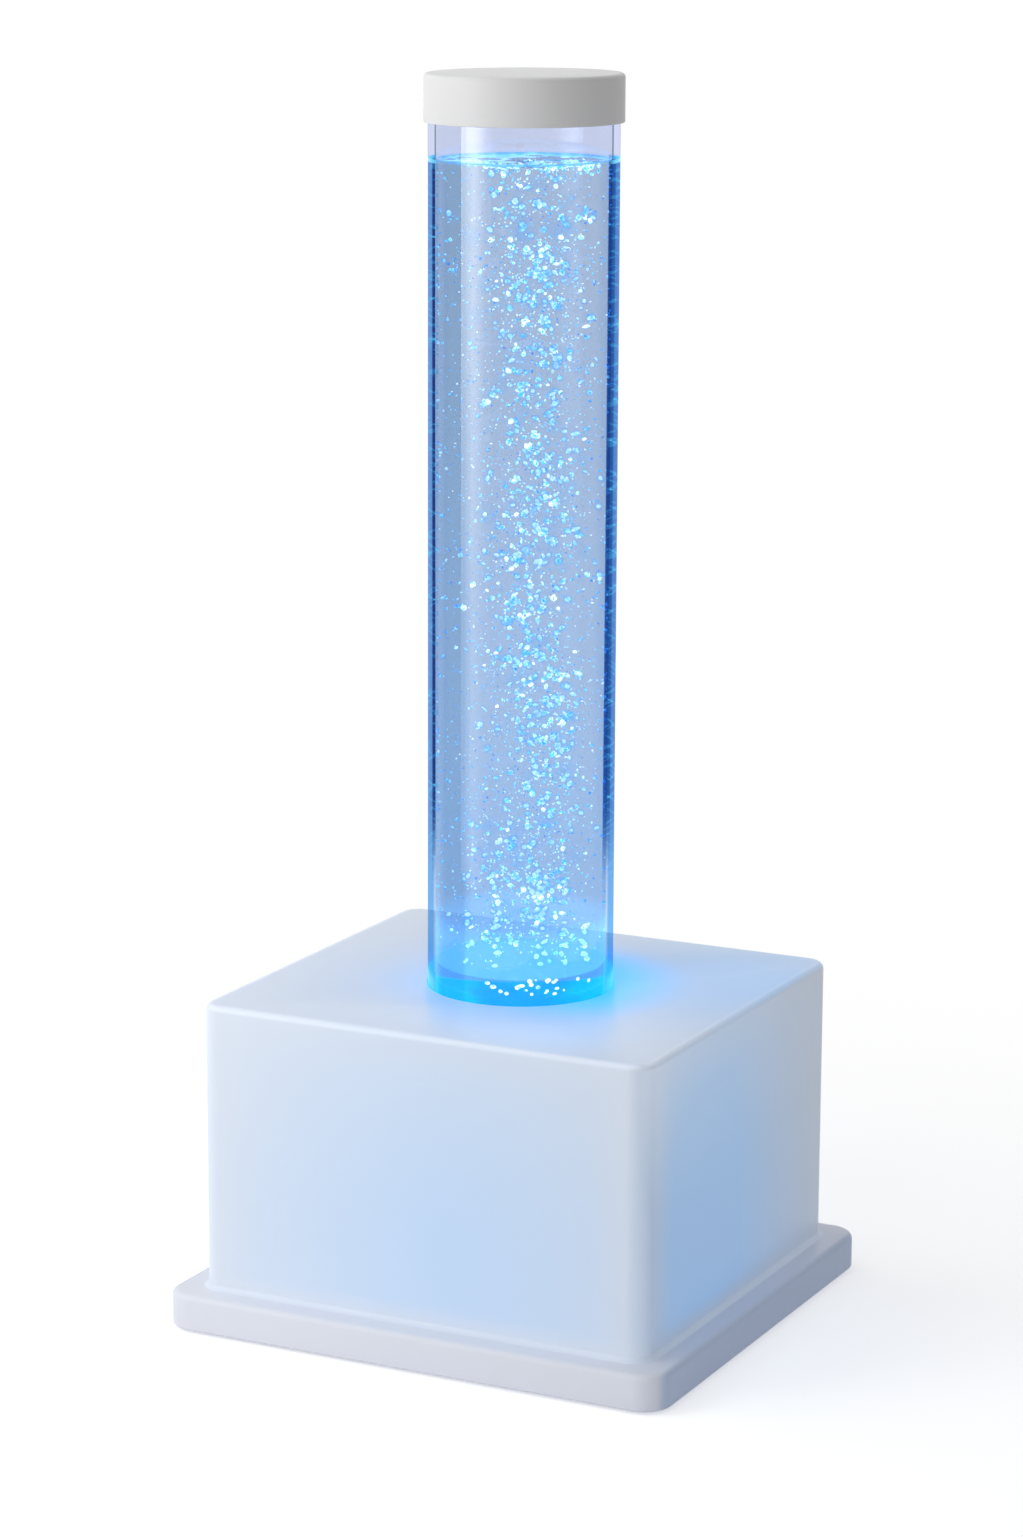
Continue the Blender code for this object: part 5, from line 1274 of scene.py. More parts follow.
@dataclass
class BasePlate:
    """The wider plate under the box, with a soft fillet where the box stands."""

    wall: float = 0.0045
    corner: float = 0.016
    edge: float = 0.0036
    foot_edge: float = 0.0018
    deck: float = 0.0035
    fillet: float = 0.0026
    fillet_gap: float = 0.00005
    fillet_seat: float = 0.0002
    height: float = 0.0200
    overlap: float = 0.001
    rib_half: float = 0.0011
    rib_depth: float = 0.0100
    rib_shares: tuple = (-0.62, -0.20, 0.20, 0.62)

    def build(self) -> None:
        """Models the plate as a shell with ribs, adds the fillet and dresses it."""
        top, inset = PLATE_LOW.z + self.height, self.wall
        low, high = PLATE_LOW, PLATE_HIGH
        plate = rounded_block("opal_plate", low, (high.x, high.y, top), self.corner)
        soften_rim(plate, top, self.edge, 7)
        soften_rim(plate, low.z, self.foot_edge, 4)
        cut(plate, rounded_block(
            "plate_pocket", (low.x + inset, low.y + inset, low.z - self.overlap),
            (high.x - inset, high.y - inset, top - self.deck), self.corner - inset))
        join_on(plate, *self.ribs(top - self.deck))
        smooth(plate)
        # The plate's two ends take painted shade, its end colour.
        dress(plate, Opal("opal_plate_milk", (0.85, 0.865, 0.885, 1.0),
                          rest=(0.0, 0.012, 0.062, 1.0), strength=0.06, rim=0.0,
                          end=(0.60, 0.69, 0.80, 1.0)))
        hand_over(plate, "lamp", "opal_plastic", "base_plate")
        self.build_fillet(top)

    def ribs(self, ceiling: float) -> list[Piece]:
        """The crossing ribs under the deck."""
        ribs = []
        half = self.rib_half
        inner_x, inner_y = PLATE_HIGH.x - self.wall, PLATE_HIGH.y - self.wall
        span = (ceiling - self.rib_depth, ceiling + self.overlap)
        for share in self.rib_shares:
            ribs.append(centred_block(f"rib_x_{share}", (half, inner_y + self.overlap), span,
                                      0.0002, 1, (share * inner_x, 0.0)))
            ribs.append(centred_block(f"rib_y_{share}", (inner_x + self.overlap, half), span,
                                      0.0002, 1, (0.0, share * inner_y)))
        return ribs

    def build_fillet(self, top: float) -> None:
        """The soft fillet of the plate round the foot of the box."""
        low, high, gap = BOX_LOW, BOX_HIGH, self.fillet_gap
        grow = self.fillet + gap
        crest = top + self.fillet
        outer = rounded_block(
            "plate_fillet", (low.x - grow, low.y - grow, top - self.fillet_seat),
            (high.x + grow, high.y + grow, crest), BOX_CORNER + grow)
        inner = rounded_block(
            "fillet_core", (low.x - gap, low.y - gap, top - self.overlap),
            (high.x + gap, high.y + gap, crest + self.overlap), BOX_CORNER + gap)
        edit(outer)
        pick(outer, "edges", lambda e: all(abs(v.co.z - crest) < SAME_PLACE for v in e.verts))
        round_picked(self.fillet * 0.97, 6, 0.16)
        cut(outer, inner)
        smooth(outer, 50)
        dress(outer, Opal("opal_fillet_milk", rest=(0.05, 0.09, 0.15, 1.0), strength=0.3, rim=0.0))
        hand_over(outer, "lamp", "opal_plastic")


@dataclass
class Lid:
    """The white push-on lid, turned from one profile."""

    skirt: float = 0.0020
    disc: float = 0.0030
    flat_share: float = 0.45
    edge: float = 0.0022
    lower_edge: float = 0.0006
    lead_in: float = 0.0004
    spigot_out: float = 0.0457
    spigot_in: float = 0.0435
    spigot_bottom: float = 0.647
    spigot_edge: float = 0.001
    steps: int = 144

    def build(self) -> None:
        """Turns the lid and dresses it."""
        low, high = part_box("cap")
        radius, top, bottom = high.x, high.z, low.z
        bore, under = radius - self.skirt, top - self.disc
        foot, chamfer, out = self.spigot_bottom, self.spigot_edge, self.spigot_out
        profile = [(0, top), (radius * self.flat_share, top)]
        profile += round_corner((radius - self.edge, top - self.edge), self.edge, 90, 0, 7)
        profile += round_corner((radius - self.lower_edge, bottom + self.lower_edge),
                                self.lower_edge, 0, -90, 3)
        profile += [(bore + self.lead_in, bottom), (bore, bottom + self.lead_in), (bore, under)]
        profile += [(out, under), (out, foot + chamfer), (out - chamfer, foot)]
        profile += [(self.spigot_in, foot), (self.spigot_in, under), (0, under)]
        lid = turn_profile("white_lid", profile, self.steps)
        smooth(lid, 28)
        dress(lid, Moulded("lid_white", (0.775, 0.775, 0.78, 1.0), gloss=0.46, clouding=0.02,
                           grain=1500.0, relief=0.00002))
        hand_over(lid, "lid", "white_cap", "cap")


@dataclass
class Column:
    """The tube with its water, the discs in its foot and the water's surface."""

    MENISCUS = ((0.6, 0.45), (1.2, 0.78), (2.2, 0.95), (3.6, 1.0))
    RINGS = (0.86, 0.78, 0.70, 0.62, 0.54, 0.46, 0.38, 0.30, 0.22, 0.14, 0.07)

    steps: int = 144
    bore: float = 0.046
    polish: float = 0.0004
    rim_height: float = 0.0012
    water_edge: float = 0.0005
    crest: Pair = (0.0002, 0.0001)
    ruffled_share: float = 0.88
    hollows: int = 46
    hollow_reach: Pair = (0.0035, 0.0080)
    hollow_depth: Pair = (0.0002, 0.0005)
    hollow_band: float = 0.0022
    inlet: float = 0.0044
    floor_edge: float = 0.0004
    plate_edges: Pair = (0.0003, 0.0005)
    plate_rim: float = 0.0030
    plate_roof: float = 0.0035
    hole: float = 0.0008
    hole_rings: tuple = ((0.0085, 6), (0.0170, 12))
    overcut: float = 0.001

    def build(self) -> None:
        """Builds the column's pieces."""
        self.build_tube()
        self.build_water()
        self.build_floor()
        self.build_plate()

    def build_tube(self) -> None:
        """Turns the clear tube, its bore a material of its own."""
        tube_low, tube_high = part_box("bubble_tube")
        radius, low, high = tube_high.x, tube_low.z, tube_high.z
        bore, edge = self.bore, self.polish
        profile = [(bore + edge, low), (radius - edge, low), (radius, low + edge)]
        profile += climb(radius, low, high)
        profile += [(radius, high - edge), (radius - edge, high), (bore + edge, high)]
        profile += [(bore, high - edge), (bore, low + edge), (bore + edge, low)]
        tube = turn_profile("clear_tube", profile, self.steps)
        tube.visible_shadow = False
        smooth(tube, 28)
        middle = (bore + radius) / 2
        dress(tube, ClearWall("tube_outside", face=Wall.OUTSIDE),
              ClearWall("tube_bore", mirror=0.014, dry_mirror=0.06, graze=0.05),
              second=lambda face: face.center.xy.length < middle)
        hand_over(tube, "lamp", "clear_acrylic", "bubble_tube")

    def build_water(self) -> None:
        """Turns the water, with the raised rim where it meets the wall."""
        water_low, water_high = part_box("water_column")
        radius, low, top = water_high.x, water_low.z, water_high.z
        rise, edge = self.rim_height, self.water_edge
        crest_width, crest_drop = self.crest
        level = top - rise
        profile = [(0, low), (radius - edge, low), (radius, low + edge)]
        profile += climb(radius, low, top)
        profile += [(radius, top - crest_drop), (radius - crest_width, top)]
        profile += [(radius - rise * share, top - rise * depth) for share, depth in self.MENISCUS]
        profile += [(radius * share, level) for share in self.RINGS]
        profile += [(0, level)]
        water = turn_profile("lit_water_column", profile, self.steps)
        water.visible_shadow = False
        self.ruffle(water, level, radius * self.ruffled_share)
        smooth(water, 40)
        lowest, widest = top - rise * 1.1, radius - 0.0001
        dress(water, LitWater(), WaterSurface(), second=lambda face: (
            face.center.z > lowest and face.center.xy.length < widest))
        hand_over(water, "lamp", "water", "water_column")

    def ruffle(self, water: Piece, level: float, reach: float) -> None:
        """Presses soft hollows into the water's surface, inside its raised rim.

        Args:
            water: the water.
            level: the surface's height.
            reach: how far out it may be pressed.
        """
        chance = random.Random(5)
        edit(water, "VERT")
        for _ in range(self.hollows):
            out = reach * math.sqrt(chance.random())
            angle = chance.uniform(0, FULL_TURN)
            heart = Vector((out * math.cos(angle), out * math.sin(angle)))
            wide = chance.uniform(*self.hollow_reach)
            bpy.ops.mesh.select_all(action="DESELECT")
            mesh = bmesh.from_edit_mesh(water.data)
            for vert in mesh.verts:
                near = abs(vert.co.z - level) < self.hollow_band and vert.co.xy.length < reach
                vert.select = near and (vert.co.xy - heart).length < wide
            mesh.select_flush_mode()
            bmesh.update_edit_mesh(water.data)
            bpy.ops.transform.translate(value=(0, 0, -chance.uniform(*self.hollow_depth)))
        leave()

    def build_floor(self) -> None:
        """Turns the tube's floor, open in its middle for the air's inlet."""
        low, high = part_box("tube_floor")
        edge, inlet = self.floor_edge, self.inlet
        profile = [(inlet, low.z), (high.x - edge, low.z), (high.x, low.z + edge),
                   (high.x, high.z - edge), (high.x - edge, high.z), (inlet, high.z),
                   (inlet, low.z)]
        floor = turn_profile("tube_floor_disc", profile, self.steps)
        smooth(floor)
        dress(floor, LitDisc("lit_floor"))
        hand_over(floor, "lamp", "lit_acrylic", "tube_floor")

    def build_plate(self) -> None:
        """Turns the bubble plate over its air chamber and bores its holes."""
        low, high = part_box("bubble_plate")
        foot, edge = self.plate_edges
        rim, ceiling = high.x - self.plate_rim, high.z - self.plate_roof
        profile = [(rim, low.z), (high.x - foot, low.z), (high.x, low.z + foot),
                   (high.x, high.z - edge), (high.x - edge, high.z), (0, high.z),
                   (0, ceiling), (rim, ceiling), (rim, low.z)]
        plate = turn_profile("bubble_plate_disc", profile, self.steps)
        over, below = high.z + self.overcut, ceiling - self.overcut
        bore = [(0, over), (self.hole, over), (self.hole, below), (0, below)]
        cut(plate, *[turn_profile("air_bore", bore, 10, place) for place in self.hole_places()])
        smooth(plate)
        dress(plate, LitDisc("lit_bubble_plate"))
        hand_over(plate, "lamp", "lit_acrylic", "bubble_plate")

    def hole_places(self) -> list[Pair]:
        """Where the air comes up: one hole in the middle and two rings."""
        places = [(0.0, 0.0)]
        for radius, count in self.hole_rings:
            angles = [FULL_TURN * index / count for index in range(count)]
            places += [(radius * math.cos(a), radius * math.sin(a)) for a in angles]
        return places


class Shape(Enum):
    """The kinds of bubble: segments, rings, roughness and the stretches it comes in."""

    LUMP = (8, 6, 0.22, ((1.0, 1.0, 0.9), (1.35, 1.0, 0.75), (0.85, 1.1, 1.1), (1.55, 1.0, 0.65),
                         (1.1, 0.9, 1.0), (1.0, 1.2, 0.7)))
    SPECK = (6, 4, 0.20, ((1.0, 1.0, 1.0), (1.6, 1.0, 0.7), (0.9, 1.1, 1.3)))
    CLOUD = (10, 6, 0.0, ((1.0, 1.0, 0.85),))
    DISC = (8, 6, 0.10, ((1.0, 0.10, 0.9), (1.3, 0.10, 0.8)))


@dataclass
class BubbleStream:
    """The rising bubbles: a wandering dense stream, strays, and beads on the wall.

    PATH gives heights and places to the photo's right. TRAINS gives places to the
    right and back, counts and tops. KNOTS to FOAM give the ranges of the radii and of
    the tones. A list of bubbles holds places, radii and tones.
    """

    TONE = "tone"
    PATH = ((0.192, 0.003), (0.215, 0.006), (0.245, 0.001), (0.285, 0.010), (0.325, 0.013),
            (0.355, 0.007), (0.385, 0.002), (0.420, 0.006), (0.455, 0.009), (0.490, 0.005),
            (0.520, 0.009), (0.550, 0.008), (0.585, 0.007), (0.622, 0.010))
    TRAINS = ((-0.0129, -0.026, 9, 0.235), (0.0103, -0.022, 13, 0.245),
              (0.0075, -0.012, 6, 0.240), (0.0226, -0.020, 11, 0.240),
              (-0.0280, -0.024, 6, 0.225), (0.0340, -0.018, 6, 0.215))
    FOAM_HEARTS = ((-0.018, 0.004), (-0.007, -0.016), (0.004, 0.010), (0.012, -0.006),
                   (0.026, 0.008), (0.031, -0.012), (-0.030, 0.014))
    KNOTS = ((0.0008, 0.0015), (0.75, 1.0))
    TRAIN_BUBBLES = ((0.0010, 0.0019), (0.85, 1.1))
    PEARLS = ((0.0005, 0.0014), (0.85, 1.2))
    STRAYS = ((0.0002, 0.0005), (0.0, 0.8))
    BEADS = ((0.0003, 0.0009), (0.2, 0.62))
    FOAM = ((0.0005, 0.0013), (0.6, 1.0))

    reach: float = 0.0438
    low: float = 0.1930
    high: float = 0.6185
    wall: float = 0.0456
    bond: float = 0.04575
    bond_width: float = 0.036
    bond_height: float = 0.0085
    knot_spread: float = 0.0013
    train_spread: float = 0.0012
    foam_spread: float = 0.0042
    foam_level: float = 0.0008
    foam_drop: Pair = (0.4, 2.4)
    halo_size: Pair = (1.7, 2.5)
    halo_share: float = 0.7
    seed: int = 11

    def build(self) -> None:
        """Builds the stream's pieces, from the largest bubbles to the haze."""
        chance = random.Random(self.seed)
        large = self.stream(chance, 620, 0.0170, 0.00080, 0.00160, low_tone=0.36)
        large += self.clusters(chance, 95)
        large += self.foot_trains(chance)
        self.piece("large_bubbles", large, Shape.LUMP, BubbleLight("bubble_light", strength=2.2))
        fine = self.stream(chance, 2600, 0.0195, 0.00026, 0.00062, low_tone=0.0)
        fine += self.strays(chance, 1300)
        self.piece("fine_bubbles", fine, Shape.SPECK,
                   BubbleLight("fine_bubble_light", strength=1.55))
        self.piece("wall_bubbles", self.wall_beads(chance, 620), Shape.SPECK,
                   BubbleLight("wall_bubble_light", strength=1.3))
        self.piece("surface_foam", self.foam(chance, 190), Shape.LUMP,
                   BubbleLight("foam_light", strength=1.7))
        self.piece("bond_pearls", self.bond_pearls(chance, 26), Shape.DISC,
                   BubbleLight("pearl_light", strength=1.25))
        halos = [(place, radius * chance.uniform(*self.halo_size), 0.5)
                 for place, radius, _ in large if chance.random() < self.halo_share]
        self.piece("bubble_halos", halos, Shape.CLOUD,
                   BubbleHaze("bubble_halo_light", srgb(8, 172, 252), 0.60))
        # A painted haze of blue light along the stream, in large soft clouds.
        glow_haze = self.stream(chance, 130, 0.0125, 0.004, 0.0085)
        self.piece("bubble_mist", glow_haze, Shape.CLOUD,
                   BubbleHaze("bubble_glow_haze_light", srgb(45, 180, 250), 0.17))

    def middle(self, height: float) -> float:
        """How far the stream's middle stands to the right at a height."""
        for (low, left), (high, right) in zip(self.PATH, self.PATH[1:]):
            if height <= high:
                share = max(0.0, (height - low) / (high - low))
                share = share * share * (3 - 2 * share)
                return left + (right - left) * share
        return self.PATH[-1][1]

    def spot(self, right: float, back: float, height: float) -> Vector:
        """A point from its place to the photo's right, its depth and its height."""
        return Vector((right * VIEW_COS - back * VIEW_SIN, right * VIEW_SIN + back * VIEW_COS,
                       height))

    def inside(self, place: Vector, radius: float) -> bool:
        """Whether a bubble is clear of the wall, the plate and the surface."""
        return (place.xy.length + radius < self.reach and
                self.low + radius < place.z < self.high - radius)

    def stream(self, chance: random.Random, count: int, spread: float, small: float,
               big: float, low_tone: float = 0.35) -> list:
        """Bubbles of the wandering stream.

        Args:
            chance: the source of chance.
            count: how many.
            spread: how wide the stream is.
            small: the smallest radius.
            big: the largest radius.
            low_tone: the darkest tone.

        Returns:
            The bubbles.
        """
        found = []
        while len(found) < count:
            height = chance.uniform(self.low, self.high)
            thick = 0.85 + 0.35 * math.sin(height * 61) + 0.25 * math.sin(height * 23 + 1)
            if chance.random() > 0.55 + 0.45 * thick:
                continue
            place = self.spot(self.middle(height) + chance.gauss(0, spread),
                              chance.gauss(0, spread * 1.1), height)
            radius = small + (big - small) * chance.random() ** 1.6
            if self.inside(place, radius):
                found.append((place, radius, chance.uniform(low_tone, 1.0) ** 0.7))
        return found

    def clusters(self, chance: random.Random, count: int) -> list:
        """Knots of bubbles that touch one another."""
        found = []
        radii, tones = self.KNOTS
        while len(found) < count * 4:
            height = chance.uniform(self.low + 0.005, self.high)
            heart = self.spot(self.middle(height) + chance.gauss(0, 0.0125),
                              chance.gauss(0, 0.013), height)
            for _ in range(chance.randint(3, 6)):
                radius = chance.uniform(*radii)
                place = heart + Vector([chance.gauss(0, self.knot_spread) for _ in range(3)])
                if self.inside(place, radius):
                    found.append((place, radius, chance.uniform(*tones)))
        return found

    def foot_trains(self, chance: random.Random) -> list:
        """The upright trains of bubbles over the plate's holes."""
        found = []
        radii, tones = self.TRAIN_BUBBLES
        for right, back, count, top in self.TRAINS:
            for index in range(count):
                height = self.low + 0.0015 + (top - self.low) * (index + chance.random()) / count
                radius = chance.uniform(*radii)
                place = self.spot(right + chance.gauss(0, self.train_spread), back, height)
                if self.inside(place, radius):
                    found.append((place, radius, chance.uniform(*tones)))
        return found

    def bond_pearls(self, chance: random.Random, count: int) -> list:
        """Flat pearls of air in the bond between the plate's rim and the tube."""
        found = []
        radii, tones = self.PEARLS
        for _ in range(count):
            right = max(-self.bond_width, min(self.bond_width, chance.gauss(0.003, 0.013)))
            height = FOOT_BAND_TOP + self.bond_height * chance.random() ** 0.8
            place = self.spot(right, -math.sqrt(self.bond * self.bond - right * right), height)
            found.append((place, chance.uniform(*radii), chance.uniform(*tones)))
        return found

    def strays(self, chance: random.Random, count: int) -> list:
        """Fine bubbles anywhere in the water."""
        found = []
        radii, tones = self.STRAYS
        while len(found) < count:
            angle = chance.uniform(0, FULL_TURN)
            out = self.reach * math.sqrt(chance.random())
            place = Vector((out * math.cos(angle), out * math.sin(angle),
                            chance.uniform(self.low, self.high)))
            radius = chance.uniform(*radii)
            if self.inside(place, radius):
                found.append((place, radius, chance.uniform(*tones)))
        return found

    def wall_beads(self, chance: random.Random, count: int) -> list:
        """Small beads that cling to the wall."""
        found = []
        radii, tones = self.BEADS
        for _ in range(count):
            angle = chance.uniform(0, FULL_TURN)
            height = self.low + (self.high - self.low) * chance.random() ** 0.8
            radius = chance.uniform(*radii)
            out = self.wall - radius * 0.9
            found.append((Vector((out * math.cos(angle), out * math.sin(angle), height)),
                          radius, chance.uniform(*tones)))
        return found

    def foam(self, chance: random.Random, count: int) -> list:
        """Bubbles that rest against the underside of the surface, in patches."""
        found = []
        radii, tones = self.FOAM
        spread, level = self.foam_spread, self.high + self.foam_level
        hearts = [self.spot(right, back, self.high) for right, back in self.FOAM_HEARTS]
        while len(found) < count:
            heart = chance.choice(hearts)
            place = heart + Vector((chance.gauss(0, spread), chance.gauss(0, spread), 0))
            radius = chance.uniform(*radii)
            place.z = level - radius * chance.uniform(*self.foam_drop)
            if place.xy.length + radius < self.reach:
                found.append((place, radius, chance.uniform(*tones)))
        return found

    @staticmethod
    def patterns(shape: Shape) -> list[tuple[list, list]]:
        """The bubbles of one kind, roughened into lumps: their points and faces."""
        segments, rings, rough, stretches = shape.value
        made = []
        for number, stretch in enumerate(stretches):
            deselect()
            bpy.ops.mesh.primitive_uv_sphere_add(segments=segments, ring_count=rings, radius=1.0)
            bubble = bpy.context.object
            edit(bubble, "VERT")
            bpy.ops.mesh.select_all(action="SELECT")
            if rough:
                bpy.ops.transform.vertex_random(offset=rough, uniform=1.0, seed=number + 3)
            bpy.ops.transform.resize(value=stretch)
            leave()
            made.append(([v.co.copy() for v in bubble.data.vertices],
                         [tuple(f.vertices) for f in bubble.data.polygons]))
            bpy.data.objects.remove(bubble)
        return made

    def piece(self, name: str, bubbles: list, shape: Shape, finish: Finish) -> None:
        """Copies one kind of bubble to every place as a single piece.

        Args:
            name: the piece's name.
            bubbles: places, radii and tones.
            shape: the kind that is copied.
            finish: the piece's finish.
        """
        patterns = self.patterns(shape)
        chance = random.Random(name)
        all_points, all_faces, tones = [], [], []
        for place, radius, tone in bubbles:
            points, faces = chance.choice(patterns)
            if shape is Shape.DISC:
                turn = Matrix.Rotation(math.atan2(place.y, place.x) + QUARTER_TURN, 3, "Z")
            else:
                turn = (Matrix.Rotation(chance.uniform(0, FULL_TURN), 3, "Z")
                        @ Matrix.Rotation(chance.gauss(0, 0.45), 3, "Y"))
            start = len(all_points)
            all_points += [place + radius * (turn @ point) for point in points]
            all_faces += [tuple(start + corner for corner in face) for face in faces]
            tones += [tone] * len(points)
        mesh = bpy.data.meshes.new(name)
        mesh.from_pydata(all_points, [], all_faces)
        tone_layer = mesh.attributes.new(self.TONE, "FLOAT", "POINT")
        tone_layer.data.foreach_set("value", tones)
        item = bpy.data.objects.new(name, mesh)
        bpy.context.scene.collection.objects.link(item)
        for face in mesh.polygons:
            face.use_smooth = True
        dress(item, finish)
        hand_over(item, "lamp", "water")


@dataclass
class RearPanel:
    """The socket, the rocker switch and the colour button in the rear wall.

    Each is modelled upright on its seat, its outside up, and then turned to the rear.
    PIN_TIP gives radii and drops, and CAP_TOP radii and shares of the dish's depth.
    """

    PIN_TIP = ((0, 0), (0.0004, 0), (0.0008, 0.0002), (0.0010, 0.0006))
    CAP_TOP = ((0, 1), (0.0010, 1), (0.0020, 0.75), (0.0028, 0.25))

    face: float = 0.1213
    steps: int = 72
    edge: float = 0.0006
    lead_in: float = 0.0003
    barrel: float = 0.0057
    barrel_length: float = 0.0180
    socket: Pair = (0.0075, 0.0018)
    socket_bore: float = 0.0031
    socket_root: float = -0.0082
    bright_bore: float = -0.0016
    pin: float = 0.0010
    pin_tip: float = 0.0003
    ring: Pair = (0.0080, 0.0022)
    well: Pair = (0.0044, -0.0058)
    stem_well: Pair = (0.0018, -0.0128)
    cap: Pair = (0.0041, 0.0040)
    cap_dish: float = 0.00015
    cap_edge: float = 0.0006
    cap_foot: Pair = (0.0002, -0.0010)
    stem: Pair = (0.0015, -0.0090)
    frame_half: Pair = (0.0075, 0.0105)
    frame_front: float = 0.0020
    frame_corner: float = 0.0012
    shank_half: Pair = (0.00615, 0.0091)
    shank_span: Pair = (-0.0140, 0.0002)
    blade_half: Pair = (0.0024, 0.0004)
    blade_span: Pair = (-0.0210, -0.0138)
    blade_place: float = 0.0045
    bright_blade: float = -0.0141
    switch_well: Pair = (0.0051, 0.0085)
    switch_well_span: Pair = (-0.0060, 0.0030)
    bearing: Pair = (0.0012, 0.0057)
    axle_size: Pair = (0.0009, 0.0054)
    pivot: float = 0.0004
    tilt: float = math.radians(10)
    contact: Metal = Metal("contact_nickel", (0.66, 0.65, 0.62, 1.0), 0.24)

    def build(self) -> None:
        """Builds the fittings' pieces."""
        self.build_socket()
        self.build_button()
        self.build_switch()
        self.build_rocker()

    def fitting(self, name: str, size: Pair, inside: list[Pair]) -> Piece:
        """Turns a round fitting: its inside, its rounded flange and its barrel.

        Args:
            name: the piece's name.
            size: the flange's radius and how far it stands off the panel.
            inside: the profile of its inside, from the axis to the bore's wall.

        Returns:
            The fitting on the upright axis.
        """
        flange, front = size
        bore = inside[-1][0]
        profile = inside + [(bore, front - self.lead_in), (bore + self.lead_in, front)]
        profile += round_corner((flange - self.edge, front - self.edge), self.edge, 90, 0, 5)
        profile += [(flange, 0.0), (self.barrel, 0.0), (self.barrel, -self.barrel_length),
                    (0, -self.barrel_length)]
        return turn_profile(name, profile, self.steps)

    def finish(self, piece: Piece, across: float, body: str, node: str, finish: Finish,
               bright: Callable | None = None) -> None:
        """Puts an upright piece on the panel, dresses it and hands it over.

        Args:
            piece: the upright piece.
            across: its place across the panel.
            body: the CAD body it moves with.
            node: the CAD node it replaces.
            finish: its finish.
            bright: a test of the upright piece's faces that are contacts.
        """
        marked = [bool(bright and bright(face.center)) for face in piece.data.polygons]
        turned_to_rear(piece, across, self.face, PANEL_HEIGHT)
        smooth(piece)
        dress(piece, finish, *([self.contact] if bright else []))
        for face, mark in zip(piece.data.polygons, marked):
            face.material_index = int(mark)
        slot = "white_plastic" if node == "colour_button" else "black_plastic"
        hand_over(piece, body, slot, node)

    def build_socket(self) -> None:
        """The low-voltage socket with its bright centre pin."""
        root, tip, bore, pin = self.socket_root, self.pin_tip, self.socket_bore, self.pin
        inside = [(radius, tip - drop) for radius, drop in self.PIN_TIP]
        inside += [(pin, root), (bore, root)]
        socket = self.fitting("socket", self.socket, inside)
        self.finish(socket, -PANEL_PITCH, "lamp", "power_jack", BLACK_PLASTIC, lambda centre: (
            (centre.xy.length <= pin and centre.z > root)
            or (abs(centre.xy.length - bore) < 0.0001 and centre.z < self.bright_bore)))

    def build_button(self) -> None:
        """The colour button's body and its sliding cap."""
        (stem_hole, stem_floor), (well, floor) = self.stem_well, self.well
        inside = [(0, stem_floor), (stem_hole, stem_floor), (stem_hole, floor), (well, floor)]
        body = self.fitting("button_ring", self.ring, inside)
        self.finish(body, PANEL_PITCH, "lamp", "button_body", BLACK_PLASTIC)
        (radius, top), (stem, stem_end) = self.cap, self.stem
        dish, rounding = self.cap_dish, self.cap_edge
        lower_edge, shoulder = self.cap_foot
        profile = [(out, top - dish * share) for out, share in self.CAP_TOP]
        profile += round_corner((radius - rounding, top - rounding), rounding, 90, 0, 6)
        profile += [(radius, shoulder + lower_edge), (radius - lower_edge, shoulder),
                    (stem, shoulder), (stem, stem_end), (0, stem_end)]
        cap = turn_profile("button_cap", profile, self.steps)
        white = Moulded("button_white", (0.80, 0.80, 0.81, 1.0), 0.32, 0.03, 1500.0)
        self.finish(cap, PANEL_PITCH, "button", "colour_button", white)

    def axle(self, name: str, size: Pair, level: float) -> Piece:
        """A round bar across the switch, at the rocker's axis."""
        radius, reach = size
        bar = turn_profile(name, [(0, reach), (radius, reach), (radius, -reach), (0, -reach)], 32)
        bar.data.transform(Matrix.Translation((0, 0, level))
                           @ Matrix.Rotation(QUARTER_TURN, 4, "Y"))
        return bar

    def build_switch(self) -> None:
        """The switch's frame with its body, blades, well and bearings."""
        switch = centred_block("switch_frame", self.frame_half, (0, self.frame_front),
                               self.frame_corner, 6)
        soften_rim(switch, self.frame_front, self.edge, 4)
        shank = centred_block("switch_shank", self.shank_half, self.shank_span, 0.0003, 2)
        blades = [centred_block(f"switch_blade_{side}", self.blade_half, self.blade_span, 0.0001,
                                1, (0.0, side * self.blade_place)) for side in (-1, 1)]
        join_on(switch, shank, *blades)
        well = centred_block("switch_well", self.switch_well, self.switch_well_span, 0.0004, 3)
        cut(switch, well, self.axle("switch_bearing", self.bearing, self.pivot))
        self.finish(switch, 0.0, "lamp", "switch_body", BLACK_PLASTIC,
                    lambda centre: centre.z < self.bright_blade)

